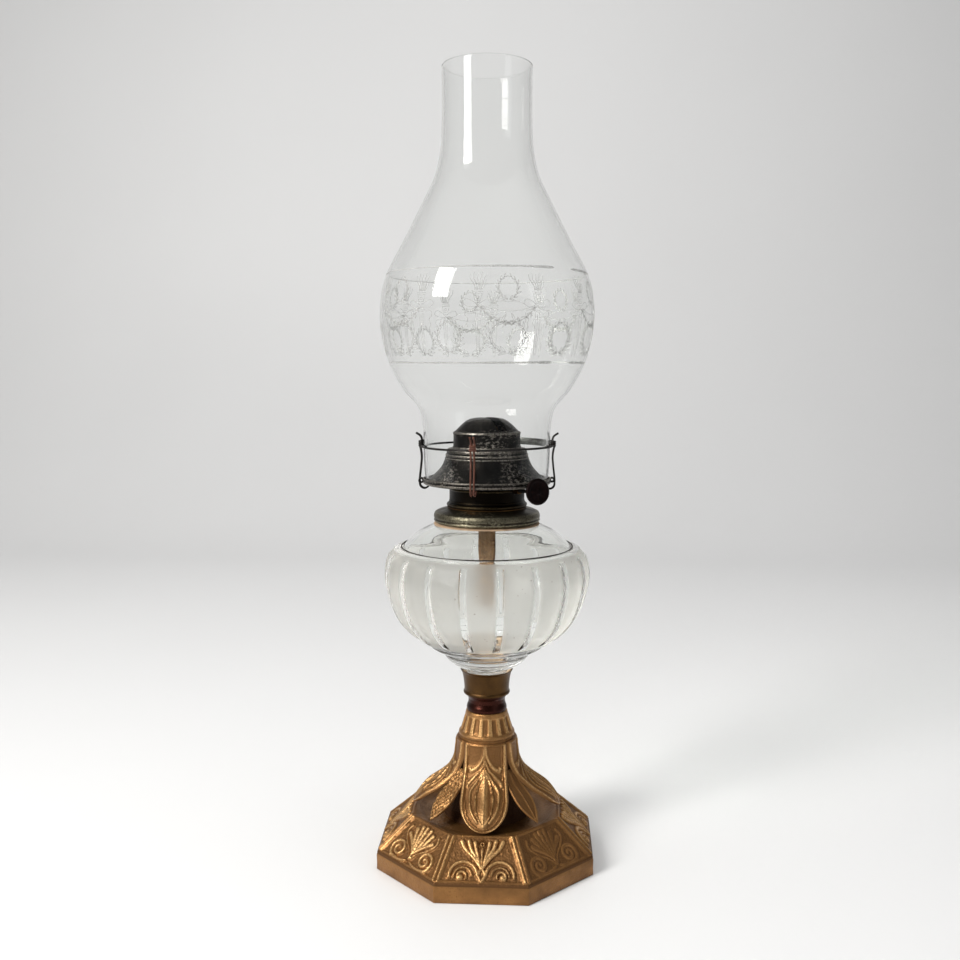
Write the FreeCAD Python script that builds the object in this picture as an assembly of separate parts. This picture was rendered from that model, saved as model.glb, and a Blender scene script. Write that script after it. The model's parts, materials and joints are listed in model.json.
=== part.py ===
import FreeCAD, Part
import math
import os

# A table oil lamp: cast foot and leaf stem, glass font, screw-in flat-wick burner,
# wire chimney holder and a bulged glass chimney. Millimetres, +Z up, the origin at the
# middle of the foot's underside. Azimuth 0 is the front (-Y) and grows towards +X.

Vector = FreeCAD.Vector
up = Vector(0, 0, 1)
origin = Vector(0, 0, 0)

# --- foot and stem ---
foot_apothem = 66.0         # half the size across the octagon's flats
plinth_top_z = 12.0
panel_step = 1.0            # the panels start this far inside the plinth
ledge_apothem = 44.3
ledge_z = 31.5
shelf_z = 28.5              # where the stem stands
shelf_thickness = 3.0
shelf_hole_radius = 35.0
arm_width = 12.0            # the cross that carries the stem
casting_wall = 3.0
stem_top_z = 93.7
neck_floor_z = 88.7
flute_count = 16
petal_half_width = 14.7
petal_top_half_width = 12.7
petal_thickness = 3.0
rod_radius = 3.0
rod_play = 0.15

# --- cup and font ---
ring_top_z = 104.0
cup_floor_z = 107.4
cup_lip_z = 120.0
rib_count = 18
rib_width = 3.3
rib_height = 0.9
font_top_z = 219.5
font_mouth_radius = 17.5

# --- collar and burner ---
thread_radius = 16.0
thread_pitch = 2.1
collar_top_z = 221.0
burner_radius = 22.9
burner_bottom_z = 221.75
sheet = 0.6                 # burner sheet brass
gallery_z = 235.5
gallery_radius = 39.0
gallery_rim_z = 239.2
wick_azimuth = 33.0         # the wick's width and the spindle point this way
wick_half_width = 9.5
wick_half_thickness = 1.2
wick_bottom_z = 157.0
wick_top_z = 271.3
wick_play = 0.3
tube_wall = 0.4
tube_bottom_z = 212.0
tube_top_z = 270.3
spindle_offset = 6.5        # from the wick's middle to the spindle
spindle_z = 231.0
spindle_tilt = 4.5
spindle_radius = 1.1
spur_radius = 5.2
spur_teeth = 18
knob_reach = 47.0
knob_radius = 7.7
knob_thickness = 2.5
slot_width = 6.0

# --- chimney and its wire holder ---
chimney_z = 236.5
chimney_top_z = 481.0
chimney_wall = 1.7
wire_radius = 0.65
holder_ring_radius = 39.75
holder_ring_z = 258.5
leg_hook_z = gallery_z - 0.8
strip_azimuths = (99.5, 152.5)
ring_gap_margin = 1.5       # degrees between the ring's ends and the strip
ring_gap = strip_azimuths[1] - strip_azimuths[0] + 2 * ring_gap_margin
leg_azimuths = {"front": -9.0, "right": 92.0, "back": 172.0, "left": -92.0}


# ---------- helpers ----------

def at(azimuth, radius, z):
    angle = math.radians(azimuth)
    return Vector(radius * math.sin(angle), -radius * math.cos(angle), z)


def polygon_edges(points):
    return [Part.LineSegment(Vector(*a), Vector(*b)).toShape() for a, b in zip(points, points[1:])]


def profile_line(points):
    return polygon_edges([(r, 0, z) for r, z in points])


def profile_curve(points):
    curve = Part.BSplineCurve()
    curve.interpolate([Vector(r, 0, z) for r, z in points])
    return [curve.toShape()]


def lathe(edges):
    face = Part.Face(Part.Wire(Part.__sortEdges__(edges)))
    return face.revolve(origin, up, 360)


def lathe_points(points):
    return lathe(profile_line(points + points[:1]))


def repeat(shape, count, first=0.0):
    # copies turned evenly round the lamp's axis
    copies = []
    for index in range(count):
        copy = shape.copy()
        copy.rotate(origin, up, first + 360.0 * index / count)
        copies.append(copy)
    return copies


def turned_to(shape, azimuth):
    # a shape made at the front (-Y), moved to an azimuth
    copy = shape.copy()
    copy.rotate(origin, up, azimuth)
    return copy


def to_wick(shape):
    # from wick axes (X along the wick's width, Y through its face) to the lamp's axes
    copy = shape.copy()
    copy.rotate(origin, up, wick_azimuth - 90.0)
    return copy


def box(low, high):
    size = [b - a for a, b in zip(low, high)]
    return Part.makeBox(size[0], size[1], size[2], Vector(*low))


def fused(shapes):
    result = shapes[0]
    if len(shapes) > 1:
        result = shapes[0].multiFuse(shapes[1:])
    return result.removeSplitter()


def octagon(apothem, z):
    radius = apothem / math.cos(math.radians(22.5))
    corners = [at(22.5 + 45.0 * k, radius, z) for k in range(8)]
    return Part.makePolygon(corners + corners[:1])


def octagon_block(low_apothem, low_z, high_apothem, high_z):
    return Part.makeLoft([octagon(low_apothem, low_z), octagon(high_apothem, high_z)], True, True)


def bent_wire(points, radius):
    # round bars with a ball in each bend
    pieces = []
    for a, b in zip(points, points[1:]):
        pieces.append(Part.makeCylinder(radius, (b - a).Length, a, b - a))
    for point in points[1:-1]:
        pieces.append(Part.makeSphere(radius, point))
    return fused(pieces)


# ---------- foot ----------

def make_octagonal_foot():
    inset = casting_wall * 0.7
    inner_panel_z = plinth_top_z - inset
    slope = (foot_apothem - panel_step - ledge_apothem) / (ledge_z - plinth_top_z)
    shelf_under_z = shelf_z - shelf_thickness
    inner_low = foot_apothem - casting_wall
    inner_high = ledge_apothem - inset + (ledge_z - inset - shelf_under_z) * slope
    plinth = octagon_block(foot_apothem, 0, foot_apothem, plinth_top_z)
    panels = octagon_block(foot_apothem - panel_step, plinth_top_z, ledge_apothem, ledge_z)
    hollow_low = octagon_block(inner_low, -1, inner_low, inner_panel_z)
    hollow_high = octagon_block(inner_low, inner_panel_z, inner_high, shelf_under_z)
    dish = lathe_points([(0, shelf_z), (37, shelf_z), (42, ledge_z), (42, ledge_z + 1), (0, ledge_z + 1)])
    hole = Part.makeCylinder(shelf_hole_radius, 2 * ledge_z)
    shell = plinth.fuse(panels).cut(hollow_low.fuse(hollow_high)).cut(dish).cut(hole)
    arm = box((-arm_width / 2, -37, shelf_under_z), (arm_width / 2, 0, shelf_z))
    hub = Part.makeCylinder(14, shelf_thickness, Vector(0, 0, shelf_under_z))
    rod_hole = Part.makeCylinder(rod_radius + rod_play, 2 * ledge_z)
    return fused([shell, hub] + repeat(arm, 4)).cut(rod_hole)


# ---------- leaf stem ----------

def flared_sheet(outer_points, thickness):
    # a sheet of revolution that bends outwards towards its lower end
    count = len(outer_points) - 1
    inner_points = []
    for index, (radius, z) in enumerate(outer_points):
        lean = index / count
        inner_points.append((radius - thickness * (1 - 0.45 * lean), z - thickness * 0.75 * lean))
    edges = profile_curve(outer_points) + profile_curve(inner_points)
    edges += profile_line([outer_points[0], inner_points[0]])
    edges += profile_line([outer_points[-1], inner_points[-1]])
    return lathe(edges)


def front_prism(edges, near=8.0, far=60.0):
    # an outline in the front view, pushed from the axis towards the front
    face = Part.Face(Part.Wire(Part.__sortEdges__(edges)))
    face.translate(Vector(0, -near, 0))
    return face.extrude(Vector(0, near - far, 0))


def make_large_petals():
    sheet_body = flared_sheet([(18.7, 76.8), (19.3, 69.9), (20.5, 63.3), (23.8, 56.6), (31.0, 49.2), (40.2, 42.2),
                               (46.6, 33.6)], petal_thickness)
    w = petal_half_width
    t = petal_top_half_width
    bend_z = 47.2
    tip = Part.Arc(Vector(-w, 0, bend_z), Vector(0, 0, bend_z - w), Vector(w, 0, bend_z)).toShape()
    sides = polygon_edges([(-w, 0, bend_z), (-t, 0, 78), (t, 0, 78), (w, 0, bend_z)])
    petal = sheet_body.common(front_prism(sides + [tip]))
    return repeat(petal, 4)


def make_small_petals():
    sheet_body = flared_sheet([(20.6, 60.0), (25.6, 52.8), (34.6, 45.4), (46.0, 34.4)], petal_thickness)
    half = 6.6
    wide_z = 46.0
    left = Part.Arc(Vector(-half, 0, wide_z), Vector(-4.6, 0, 39.0), Vector(0, 0, 33.8)).toShape()
    right = Part.Arc(Vector(0, 0, 33.8), Vector(4.6, 0, 39.0), Vector(half, 0, wide_z)).toShape()
    top = polygon_edges([(-half, 0, wide_z), (-4.5, 0, 60.5), (4.5, 0, 60.5), (half, 0, wide_z)])
    petal = sheet_body.common(front_prism(top + [left, right]))
    return repeat(petal, 4, 45.0)


def make_leaf_stem():
    neck = [(12.7, stem_top_z), (13.0, 92.2), (13.7, 90.0), (16.4, 81.0), (17.2, 80.4), (17.4, 79.4), (17.1, 78.4),
            (16.9, 77.6), (17.2, 70.0)]
    skirt = [(17.2, 70.0), (18.6, 60.0), (21.4, 47.0), (27.0, shelf_z)]
    skirt_inside = [(14.2, 70.0), (15.6, 60.0), (18.4, 47.0), (24.0, shelf_z)]
    edges = profile_line(neck) + profile_curve(skirt)
    edges += profile_line([skirt[-1], skirt_inside[-1]]) + profile_curve(skirt_inside)
    edges += profile_line([skirt_inside[0], (10.3, neck_floor_z), (rod_radius + rod_play, neck_floor_z),
                           (rod_radius + rod_play, stem_top_z), neck[0]])
    trunk = lathe(edges)
    groove_start = Vector(0, -17.6, 81.4)
    groove_line = Vector(0, -14.9, 91.0) - groove_start
    groove = Part.makeCylinder(1.7, groove_line.Length, groove_start, groove_line)
    trunk = trunk.cut(Part.makeCompound(repeat(groove, flute_count)))
    return fused([trunk] + make_large_petals() + make_small_petals())


# ---------- the rod that ties foot, stem and cup together ----------

def make_tie_rod():
    bottom = shelf_z - shelf_thickness - 7.5
    return Part.makeCylinder(rod_radius, cup_floor_z - bottom, Vector(0, 0, bottom))


def make_tie_washer():
    top = shelf_z - shelf_thickness
    ring = Part.makeCylinder(9, 1.2, Vector(0, 0, top - 1.2))
    return ring.cut(Part.makeCylinder(rod_radius + rod_play, 4, Vector(0, 0, top - 3)))


def make_tie_nut():
    top = shelf_z - shelf_thickness - 1.2
    corners = [at(60.0 * k, 6.4, top - 5) for k in range(6)]
    block = Part.Face(Part.makePolygon(corners + corners[:1])).extrude(Vector(0, 0, 5))
    return block.cut(Part.makeCylinder(rod_radius, 10, Vector(0, 0, top - 8)))


def make_spacer_ring():
    bore = rod_radius + rod_play
    return lathe_points([(bore, stem_top_z), (12.2, stem_top_z), (12.5, 94.6), (12.4, 95.9), (12.0, 97.4),
                         (11.4, 99.2), (11.4, 101.2), (12.1, 102.6), (12.4, ring_top_z), (bore, ring_top_z)])


# ---------- connector cup ----------

def make_connector_cup():
    outer = [(rod_radius, ring_top_z), (13.6, ring_top_z), (14.4, 104.7), (14.4, 105.8), (13.9, 106.6)]
    wall = [(13.9, 106.6), (14.1, 110.6), (14.9, 116.2), (16.4, 119.4)]
    inside = [(15.8, 119.7), (14.2, 116.2), (13.3, 110.6), (13.1, cup_floor_z)]
    edges = profile_line(outer) + profile_curve(wall)
    edges += profile_line([wall[-1], (16.4, cup_lip_z), inside[0]]) + profile_curve(inside)
    edges += profile_line([inside[-1], (rod_radius, cup_floor_z), outer[0]])
    return lathe(edges)


def make_cup_plaster():
    return lathe_points([(0, 107.5), (12.9, 107.5), (13.1, 110.6), (14.0, 116.2), (14.9, 118.4), (13.4, 118.4),
                         (12.7, 117.4), (12.4, 109.2), (0, 109.2)])


# ---------- font ----------

font_body = [(26.4, 131.2), (30.8, 133.2), (41.2, 139.8), (48.8, 146.2), (55.2, 154.2), (60.0, 166.2),
             (62.3, 179.6), (60.2, 191.0), (56.4, 196.2)]


def make_font():
    base = [(0, 109.3), (11.6, 109.3), (12.2, 110.1), (12.5, 117.6), (14.2, 119.9), (17.0, 121.6), (21.2, 124.4),
            (25.0, 127.6), (26.0, 129.2), (25.8, 130.4), font_body[0]]
    dome = [(52.3, 196.6), (43.0, 205.2), (31.0, 211.0), (21.6, 213.8)]
    inside = [(font_mouth_radius, 211.0), (30.0, 206.6), (48.6, 196.0), (57.0, 188.0), (58.4, 178.6),
              (56.0, 166.6), (51.4, 156.0), (38.0, 143.6), (16.0, 135.0), (0, 133.4)]
    edges = profile_line(base) + profile_curve(font_body)
    edges += profile_line([font_body[-1], (54.2, 197.3), dome[0]]) + profile_curve(dome)
    edges += profile_line([dome[-1], (21.0, 214.6), (21.0, font_top_z), (font_mouth_radius, font_top_z), inside[0]])
    edges += profile_curve(inside) + profile_line([inside[-1], base[0]])
    return fused([lathe(edges)] + make_font_ribs())


def make_font_ribs():
    run = [(40.8, 140.0)] + font_body[3:-1]
    outer = [(radius + rib_height, z) for radius, z in run]
    inner = [(radius - rib_height, z) for radius, z in run]
    edges = profile_curve(outer) + profile_curve(inner)
    edges += profile_line([outer[0], inner[0]]) + profile_line([outer[-1], inner[-1]])
    band = lathe(edges)
    slab = box((-rib_width / 2, -70, 120), (rib_width / 2, -20, 200))
    return repeat(band.common(slab), rib_count, 10.0)


# ---------- collar ----------

def make_font_collar():
    tube = thread_radius + 0.8
    return lathe_points([(thread_radius, 211.5), (tube, 211.5), (tube, 220.0), (24.0, 220.0), (31.0, 217.8),
                         (31.6, 215.8), (31.6, 213.9), (29.9, 212.3), (30.5, 211.7), (32.5, 213.6), (32.5, 216.0),
                         (31.7, 218.5), (24.3, 220.8), (22.0, collar_top_z), (thread_radius, collar_top_z)])


def make_collar_plaster():
    # its lower side follows the dome of the glass, and a little is squeezed out past the collar's lip
    return lathe_points([(21.3, 214.5), (27.0, 212.9), (31.2, 211.2), (33.4, 210.5), (32.6, 211.5), (30.4, 211.6),
                         (29.7, 212.3), (31.5, 213.95), (31.5, 215.75), (30.9, 217.7), (23.9, 219.9), (21.3, 219.9)])


# ---------- burner ----------

def make_burner_ferrule():
    # the screw is drawn as rings whose crests clear the collar's bore
    crest = thread_radius - 0.1
    root = crest - 0.5
    outer = [(root, 209.5)]
    z = 210.0
    while z + thread_pitch < collar_top_z:
        outer += [(root, z), (crest, z + 0.7), (crest, z + 1.0), (root, z + 1.7)]
        z += thread_pitch
    outer += [(root, 221.1), (24.3, 221.1), (24.3, 221.6), (14.8, 221.6), (14.8, 209.5)]
    return lathe_points(outer)


def wick_box(margin, low_z, high_z):
    half_u = wick_half_width + margin
    half_v = wick_half_thickness + margin
    return box((-half_u, -half_v, low_z), (half_u, half_v, high_z))


def spindle_cylinder(radius, start, end):
    tilt = math.radians(spindle_tilt)
    line = Vector(math.cos(tilt), 0, math.sin(tilt))
    middle = Vector(0, spindle_offset, spindle_z)
    return Part.makeCylinder(radius, end - start, middle + line * start, line)


def make_burner_body():
    r = burner_radius
    shell = lathe_points([(14.8, burner_bottom_z), (24.0, burner_bottom_z), (24.5, 222.4), (24.5, 223.4),
                          (23.8, 224.1), (r, 224.6), (r, 235.4), (r - sheet, 235.4), (r - sheet, 223.2),
                          (14.8, 223.2)])
    floor = Part.makeCylinder(15, 1.45, Vector(0, 0, burner_bottom_z))
    openings = [wick_box(wick_play + tube_wall, 200, 240), spindle_cylinder(1.9, 15, 30)]
    openings.append(Part.makeCylinder(1.7, 20, Vector(0, -8, 215)))
    return fused([shell, floor]).cut(to_wick(Part.makeCompound(openings)))


def make_air_screen():
    disc = Part.makeCylinder(burner_radius - sheet, 0.5, Vector(0, 0, 234.9))
    clear = box((-10.4, -2.2, 230), (10.4, 12.6, 240))
    holes = []
    for ring_radius, count in ((14.5, 20), (17.2, 26), (19.9, 32)):
        hole = Part.makeCylinder(0.8, 4, at(0, ring_radius, 233))
        holes += repeat(hole, count)
    return disc.cut(Part.makeCompound(holes)).cut(to_wick(clear))


def make_gallery():
    inner = burner_radius - sheet
    r = gallery_radius
    plate = lathe_points([(inner, gallery_z), (r - 0.8, gallery_z), (r, gallery_z + 0.8), (r, gallery_rim_z - 0.4),
                          (r - 0.3, gallery_rim_z), (r - sheet, gallery_rim_z - 0.3), (r - sheet, gallery_z + 1.2),
                          (r - 1.2, gallery_z + 0.7), (inner, gallery_z + 0.7)])
    hole = Part.makeCylinder(1.6, 6, at(0, 28.5, gallery_z - 2))
    return plate.cut(Part.makeCompound(repeat(hole, 24)))


def make_wick_tube():
    tube = wick_box(wick_play + tube_wall, tube_bottom_z, tube_top_z)
    tube = tube.cut(wick_box(wick_play, tube_bottom_z - 1, tube_top_z + 1))
    window = box((-7.2, 0, spindle_z - 4.4), (7.2, 4, spindle_z + 4.4))
    return to_wick(tube.cut(window))


def make_spur_housing():
    low_v = wick_half_thickness + wick_play + tube_wall
    outer = box((-9.0, low_v, 224.6), (9.0, 12.4, 237.4))
    inner = box((-8.4, low_v - 1, 225.2), (8.4, 11.8 + 0.1, 236.8))
    return to_wick(outer.cut(inner).cut(spindle_cylinder(spindle_radius + 0.08, -20, 20)))


def make_vent_tube():
    tube = Part.makeCylinder(1.7, 16.5, Vector(0, -8, 210))
    return to_wick(tube.cut(Part.makeCylinder(1.3, 20, Vector(0, -8, 208))))


def make_spindle_sleeve():
    return to_wick(spindle_cylinder(1.9, 20.5, 27.5).cut(spindle_cylinder(spindle_radius + 0.08, 15, 30)))


# ---------- spindle, spur wheels and thumb knob ----------

def make_wick_spindle():
    return to_wick(spindle_cylinder(spindle_radius, -10.5, knob_reach - knob_thickness / 2))


def make_spur_wheels():
    corners = []
    for index in range(2 * spur_teeth):
        radius = spur_radius - (index % 2) * 0.9
        angle = math.pi * index / spur_teeth
        corners.append(Vector(0, radius * math.cos(angle), radius * math.sin(angle)))
    face = Part.Face(Part.makePolygon(corners + corners[:1]))
    wheels = []
    for along in (-5.4, 3.6):
        wheel = face.extrude(Vector(1.8, 0, 0))
        wheel.translate(Vector(along, 0, 0))
        wheel.rotate(origin, Vector(0, 1, 0), -spindle_tilt)
        wheel.translate(Vector(0, spindle_offset, spindle_z))
        wheels.append(to_wick(wheel.cut(spindle_cylinder(spindle_radius, -10, 10))))
    return Part.makeCompound(wheels)


def make_thumb_knob():
    half = knob_thickness / 2
    disc = spindle_cylinder(knob_radius, knob_reach - half, knob_reach + half)
    hub = spindle_cylinder(2.4, knob_reach - half - 2.6, knob_reach - half)
    bore = spindle_cylinder(spindle_radius, knob_reach - 8, knob_reach - half)
    notches = []
    for index in range(40):
        angle = math.radians(9.0 * index)
        notch = Part.makeCylinder(0.32, 2 * knob_thickness, Vector(knob_reach - knob_thickness, 0, knob_radius),
                                  Vector(1, 0, 0))
        notch.rotate(origin, Vector(1, 0, 0), math.degrees(angle))
        notch.rotate(origin, Vector(0, 1, 0), -spindle_tilt)
        notch.translate(Vector(0, spindle_offset, spindle_z))
        notches.append(notch)
    return to_wick(fused([disc, hub]).cut(bore).cut(Part.makeCompound(notches)))


def make_wick():
    return to_wick(wick_box(0, wick_bottom_z, wick_top_z))


# ---------- flame deflector ----------

def make_deflector_bell():
    outside = [(35.0, 238.9), (30.0, 243.6), (26.8, 247.4), (25.4, 250.6)]
    inside = [(34.4, 238.4), (29.4, 243.2), (26.2, 247.0), (24.8, 250.6)]
    ribs = [(25.4, 250.6), (25.4, 251.8), (24.6, 252.4), (24.9, 253.0), (24.9, 254.0), (24.1, 254.6), (24.1, 256.2),
            (21.4, 257.5), (20.9, 257.5), (20.9, 256.9), (23.5, 255.8), (23.5, 252.2), (24.8, 250.6)]
    edges = profile_line([inside[0], (34.6, 236.6), (35.2, 236.6), outside[0]]) + profile_curve(outside)
    edges += profile_line(ribs) + profile_curve(inside)
    return lathe(edges)


def make_deflector_dome():
    top_curve = [(19.6, 265.6), (18.2, 268.3), (14.9, 271.9), (10.2, 275.2), (0, 276.2)]
    under_curve = [(19.1, 265.2), (17.7, 267.9), (14.5, 271.4), (9.9, 274.7), (0, 275.7)]
    edges = profile_line([(19.9, 256.9), (20.8, 256.9), (20.8, 258.1), (20.4, 258.7), (20.4, 264.8), top_curve[0]])
    edges += profile_curve(top_curve) + profile_curve(under_curve)
    edges += profile_line([under_curve[0], (19.9, 264.6), (19.9, 256.9)])
    edges += profile_line([top_curve[-1], under_curve[-1]])
    slot = box((-18.6, -slot_width / 2, 266.0), (18.6, slot_width / 2, 280))
    return lathe(edges).cut(to_wick(slot))


# ---------- chimney ----------

chimney_profile = [(37.7, chimney_z), (38.4, 256.0), (39.0, 272.0), (41.2, 281.3), (50.2, 292.3), (59.5, 310.2),
                   (64.05, 334.0), (61.2, 357.3), (49.4, 380.8), (37.5, 404.2), (30.8, 418.5), (27.6, 433.1),
                   (26.6, 450.0), (26.55, chimney_top_z)]


def make_chimney():
    inner = [(radius - chimney_wall, z) for radius, z in chimney_profile]
    edges = profile_curve(chimney_profile) + profile_curve(inner)
    edges += profile_line([chimney_profile[0], inner[0]]) + profile_line([chimney_profile[-1], inner[-1]])
    return lathe(edges)


# ---------- wire holder ----------

def make_holder_ring():
    # open at the right rear, where the spring strip closes it
    bend = Part.makeTorus(holder_ring_radius, wire_radius, Vector(0, 0, holder_ring_z), up, -180, 180, 360 - ring_gap)
    bend.rotate(origin, up, strip_azimuths[1] + ring_gap_margin - 90)
    return bend


def make_holder_strip():
    band = lathe_points([(39.0, 257.0), (39.6, 257.0), (39.6, 261.5), (39.0, 261.5)])
    first, last = strip_azimuths
    wedge_points = [Vector(0, 0, 250)] + [at(azimuth, 60, 250) for azimuth in (first, (first + last) / 2, last)]
    wedge = Part.Face(Part.makePolygon(wedge_points + wedge_points[:1])).extrude(Vector(0, 0, 20))
    return band.common(wedge)


def make_holder_leg(azimuth):
    side = [(35.5, leg_hook_z), (36.0, 233.2), (38.5, 232.2), (40.7, 233.6), (41.1, 237.0), (40.2, 246.0),
            (39.9, 252.0), (40.9, 257.0), (41.3, 259.4), (40.4, 261.4), (41.0, 264.0), (43.6, 266.0)]
    strands = []
    for shift in (-1.0, 1.0):
        path = [Vector(shift, -radius, z) for radius, z in side]
        strands.append(bent_wire(path, wire_radius))
    foot_end = Part.makeCylinder(wire_radius, 2.0, Vector(-1.0, -35.5, leg_hook_z), Vector(1, 0, 0))
    return turned_to(fused(strands + [foot_end]), azimuth)


# ---------- writing the files ----------

nodes = {
    "octagonal_foot": make_octagonal_foot(),
    "leaf_stem": make_leaf_stem(),
    "tie_rod": make_tie_rod(),
    "tie_washer": make_tie_washer(),
    "tie_nut": make_tie_nut(),
    "spacer_ring": make_spacer_ring(),
    "connector_cup": make_connector_cup(),
    "cup_plaster": make_cup_plaster(),
    "font": make_font(),
    "font_collar": make_font_collar(),
    "collar_plaster": make_collar_plaster(),
    "burner_ferrule": make_burner_ferrule(),
    "burner_body": make_burner_body(),
    "air_screen": make_air_screen(),
    "gallery": make_gallery(),
    "wick_tube": make_wick_tube(),
    "spur_housing": make_spur_housing(),
    "vent_tube": make_vent_tube(),
    "spindle_sleeve": make_spindle_sleeve(),
    "wick_spindle": make_wick_spindle(),
    "spur_wheels": make_spur_wheels(),
    "thumb_knob": make_thumb_knob(),
    "wick": make_wick(),
    "deflector_bell": make_deflector_bell(),
    "deflector_dome": make_deflector_dome(),
    "chimney": make_chimney(),
    "holder_ring": make_holder_ring(),
    "holder_strip": make_holder_strip(),
}
for leg_name, leg_azimuth in leg_azimuths.items():
    nodes["holder_leg_" + leg_name] = make_holder_leg(leg_azimuth)

os.makedirs("parts", exist_ok=True)
for name, shape in nodes.items():
    state = "ok" if shape.isValid() else "INVALID"
    print(f"{name:22s} {len(shape.Solids)} solid(s) {shape.Volume:12.1f} mm3 {state}")
    shape.exportStep(f"parts/{name}.step")
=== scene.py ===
import bpy
import bmesh
import json
import math
import numpy as np
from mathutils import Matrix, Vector

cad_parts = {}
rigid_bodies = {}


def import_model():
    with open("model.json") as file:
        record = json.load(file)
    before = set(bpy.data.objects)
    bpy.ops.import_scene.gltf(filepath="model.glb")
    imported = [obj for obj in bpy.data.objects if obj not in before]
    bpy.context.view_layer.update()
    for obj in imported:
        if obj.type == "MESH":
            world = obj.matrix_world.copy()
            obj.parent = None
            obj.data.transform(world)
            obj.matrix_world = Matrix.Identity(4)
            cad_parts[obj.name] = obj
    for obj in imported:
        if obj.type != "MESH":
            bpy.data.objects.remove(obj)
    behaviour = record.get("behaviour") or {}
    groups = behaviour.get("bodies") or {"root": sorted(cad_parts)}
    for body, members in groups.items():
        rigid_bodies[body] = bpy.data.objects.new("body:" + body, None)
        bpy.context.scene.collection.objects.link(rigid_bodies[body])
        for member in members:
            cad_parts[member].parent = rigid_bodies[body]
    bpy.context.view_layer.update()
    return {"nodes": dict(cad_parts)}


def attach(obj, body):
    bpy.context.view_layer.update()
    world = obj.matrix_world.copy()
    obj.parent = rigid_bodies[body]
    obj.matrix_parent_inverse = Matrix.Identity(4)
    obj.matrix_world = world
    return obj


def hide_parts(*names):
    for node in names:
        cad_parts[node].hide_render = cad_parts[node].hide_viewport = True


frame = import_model()
print("frame loaded:", len(frame["nodes"]), "nodes")

# Lengths below are in millimetres and become metres when a mesh is made.
# Azimuth 0 is the front (-Y) and grows towards +X.

metre = 0.001


# ---- small geometry tools ----

def at(azimuth, radius, z):
    angle = np.radians(azimuth)
    return np.stack(np.broadcast_arrays(radius * np.sin(angle), -radius * np.cos(angle), z), axis=-1)


def smoothPath(points, steps=8):
    # a smooth line through all the points, in any number of dimensions
    p = np.array(points, float)
    p = np.vstack([2 * p[0] - p[1], p, 2 * p[-1] - p[-2]])
    line = []
    for a, b, c, d in zip(p, p[1:], p[2:], p[3:]):
        ta = 0.0
        tb = ta + np.linalg.norm(b - a) ** 0.5
        tc = tb + np.linalg.norm(c - b) ** 0.5
        td = tc + np.linalg.norm(d - c) ** 0.5
        for t in np.linspace(tb, tc, steps, endpoint=False):
            ab = ((tb - t) * a + (t - ta) * b) / (tb - ta)
            bc = ((tc - t) * b + (t - tb) * c) / (tc - tb)
            cd = ((td - t) * c + (t - tc) * d) / (td - tc)
            abc = ((tc - t) * ab + (t - ta) * bc) / (tc - ta)
            bcd = ((td - t) * bc + (t - tb) * cd) / (td - tb)
            line.append(((tc - t) * abc + (t - tb) * bcd) / (tc - tb))
    line.append(p[-2])
    return np.array(line)


def softened(points, cut=0.3, steps=3):
    # a closed outline with each corner that is off the axis rounded
    p = np.array(points, float)
    line = []
    for before, corner, after in zip(np.roll(p, 1, 0), p, np.roll(p, -1, 0)):
        if corner[0] < 0.001:
            line.append(corner)
            continue
        toBefore = before - corner
        toAfter = after - corner
        start = corner + toBefore * min(0.45, cut / np.linalg.norm(toBefore))
        end = corner + toAfter * min(0.45, cut / np.linalg.norm(toAfter))
        for t in np.linspace(0, 1, steps + 1):
            line.append((1 - t) ** 2 * start + 2 * t * (1 - t) * corner + t * t * end)
    return np.array(line)


def walled(outer, thickness):
    # a closed outline for a wall whose outside is the given line, with rounded ends
    outer = np.array(outer, float)
    along = np.gradient(outer, axis=0)
    along /= np.linalg.norm(along, axis=1)[:, None]
    inward = np.stack([-along[:, 1], along[:, 0]], axis=1)
    inner = outer + inward * thickness
    middle = outer + inward * thickness / 2

    def cap(index, sign):
        angles = np.linspace(0, math.pi, 7)[1:-1]
        out = -inward[index]
        ahead = sign * along[index]
        return [middle[index] + thickness / 2 * (math.cos(a) * out + math.sin(a) * ahead) for a in angles]

    return np.array(list(outer) + cap(-1, 1) + list(inner[::-1]) + cap(0, -1)[::-1])


def latheMesh(outline, segments=128, shapeRing=None):
    # turns a closed (radius, z) outline round the axis; shapeRing may change a ring's radii
    azimuths = np.arange(segments) * 360.0 / segments
    verts = []
    rings = []
    for index, (radius, z) in enumerate(outline):
        if radius < 0.001:
            rings.append([len(verts)])
            verts.append((0, 0, z))
            continue
        radii = np.full(segments, radius)
        if shapeRing:
            radii = shapeRing(index, radii, z, azimuths)
        rings.append(list(range(len(verts), len(verts) + segments)))
        verts.extend(at(azimuths, radii, z))
    return np.array(verts), ringFaces(rings)


def ringFaces(rings, closed=True):
    faces = []
    pairs = list(zip(rings, rings[1:]))
    if closed:
        pairs.append((rings[-1], rings[0]))
    for low, high in pairs:
        if len(low) == 1 and len(high) == 1:
            continue
        count = max(len(low), len(high))
        for j in range(count):
            k = (j + 1) % count
            if len(low) == 1:
                faces.append((low[0], high[k], high[j]))
            elif len(high) == 1:
                faces.append((low[j], low[k], high[0]))
            else:
                faces.append((low[j], low[k], high[k], high[j]))
    return faces


def joined(parts):
    # several (verts, faces) pairs as one
    verts = []
    faces = []
    for partVerts, partFaces in parts:
        start = sum(len(v) for v in verts)
        verts.append(np.array(partVerts, float))
        faces += [tuple(start + i for i in face) for face in partFaces]
    return np.vstack(verts), faces


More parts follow.
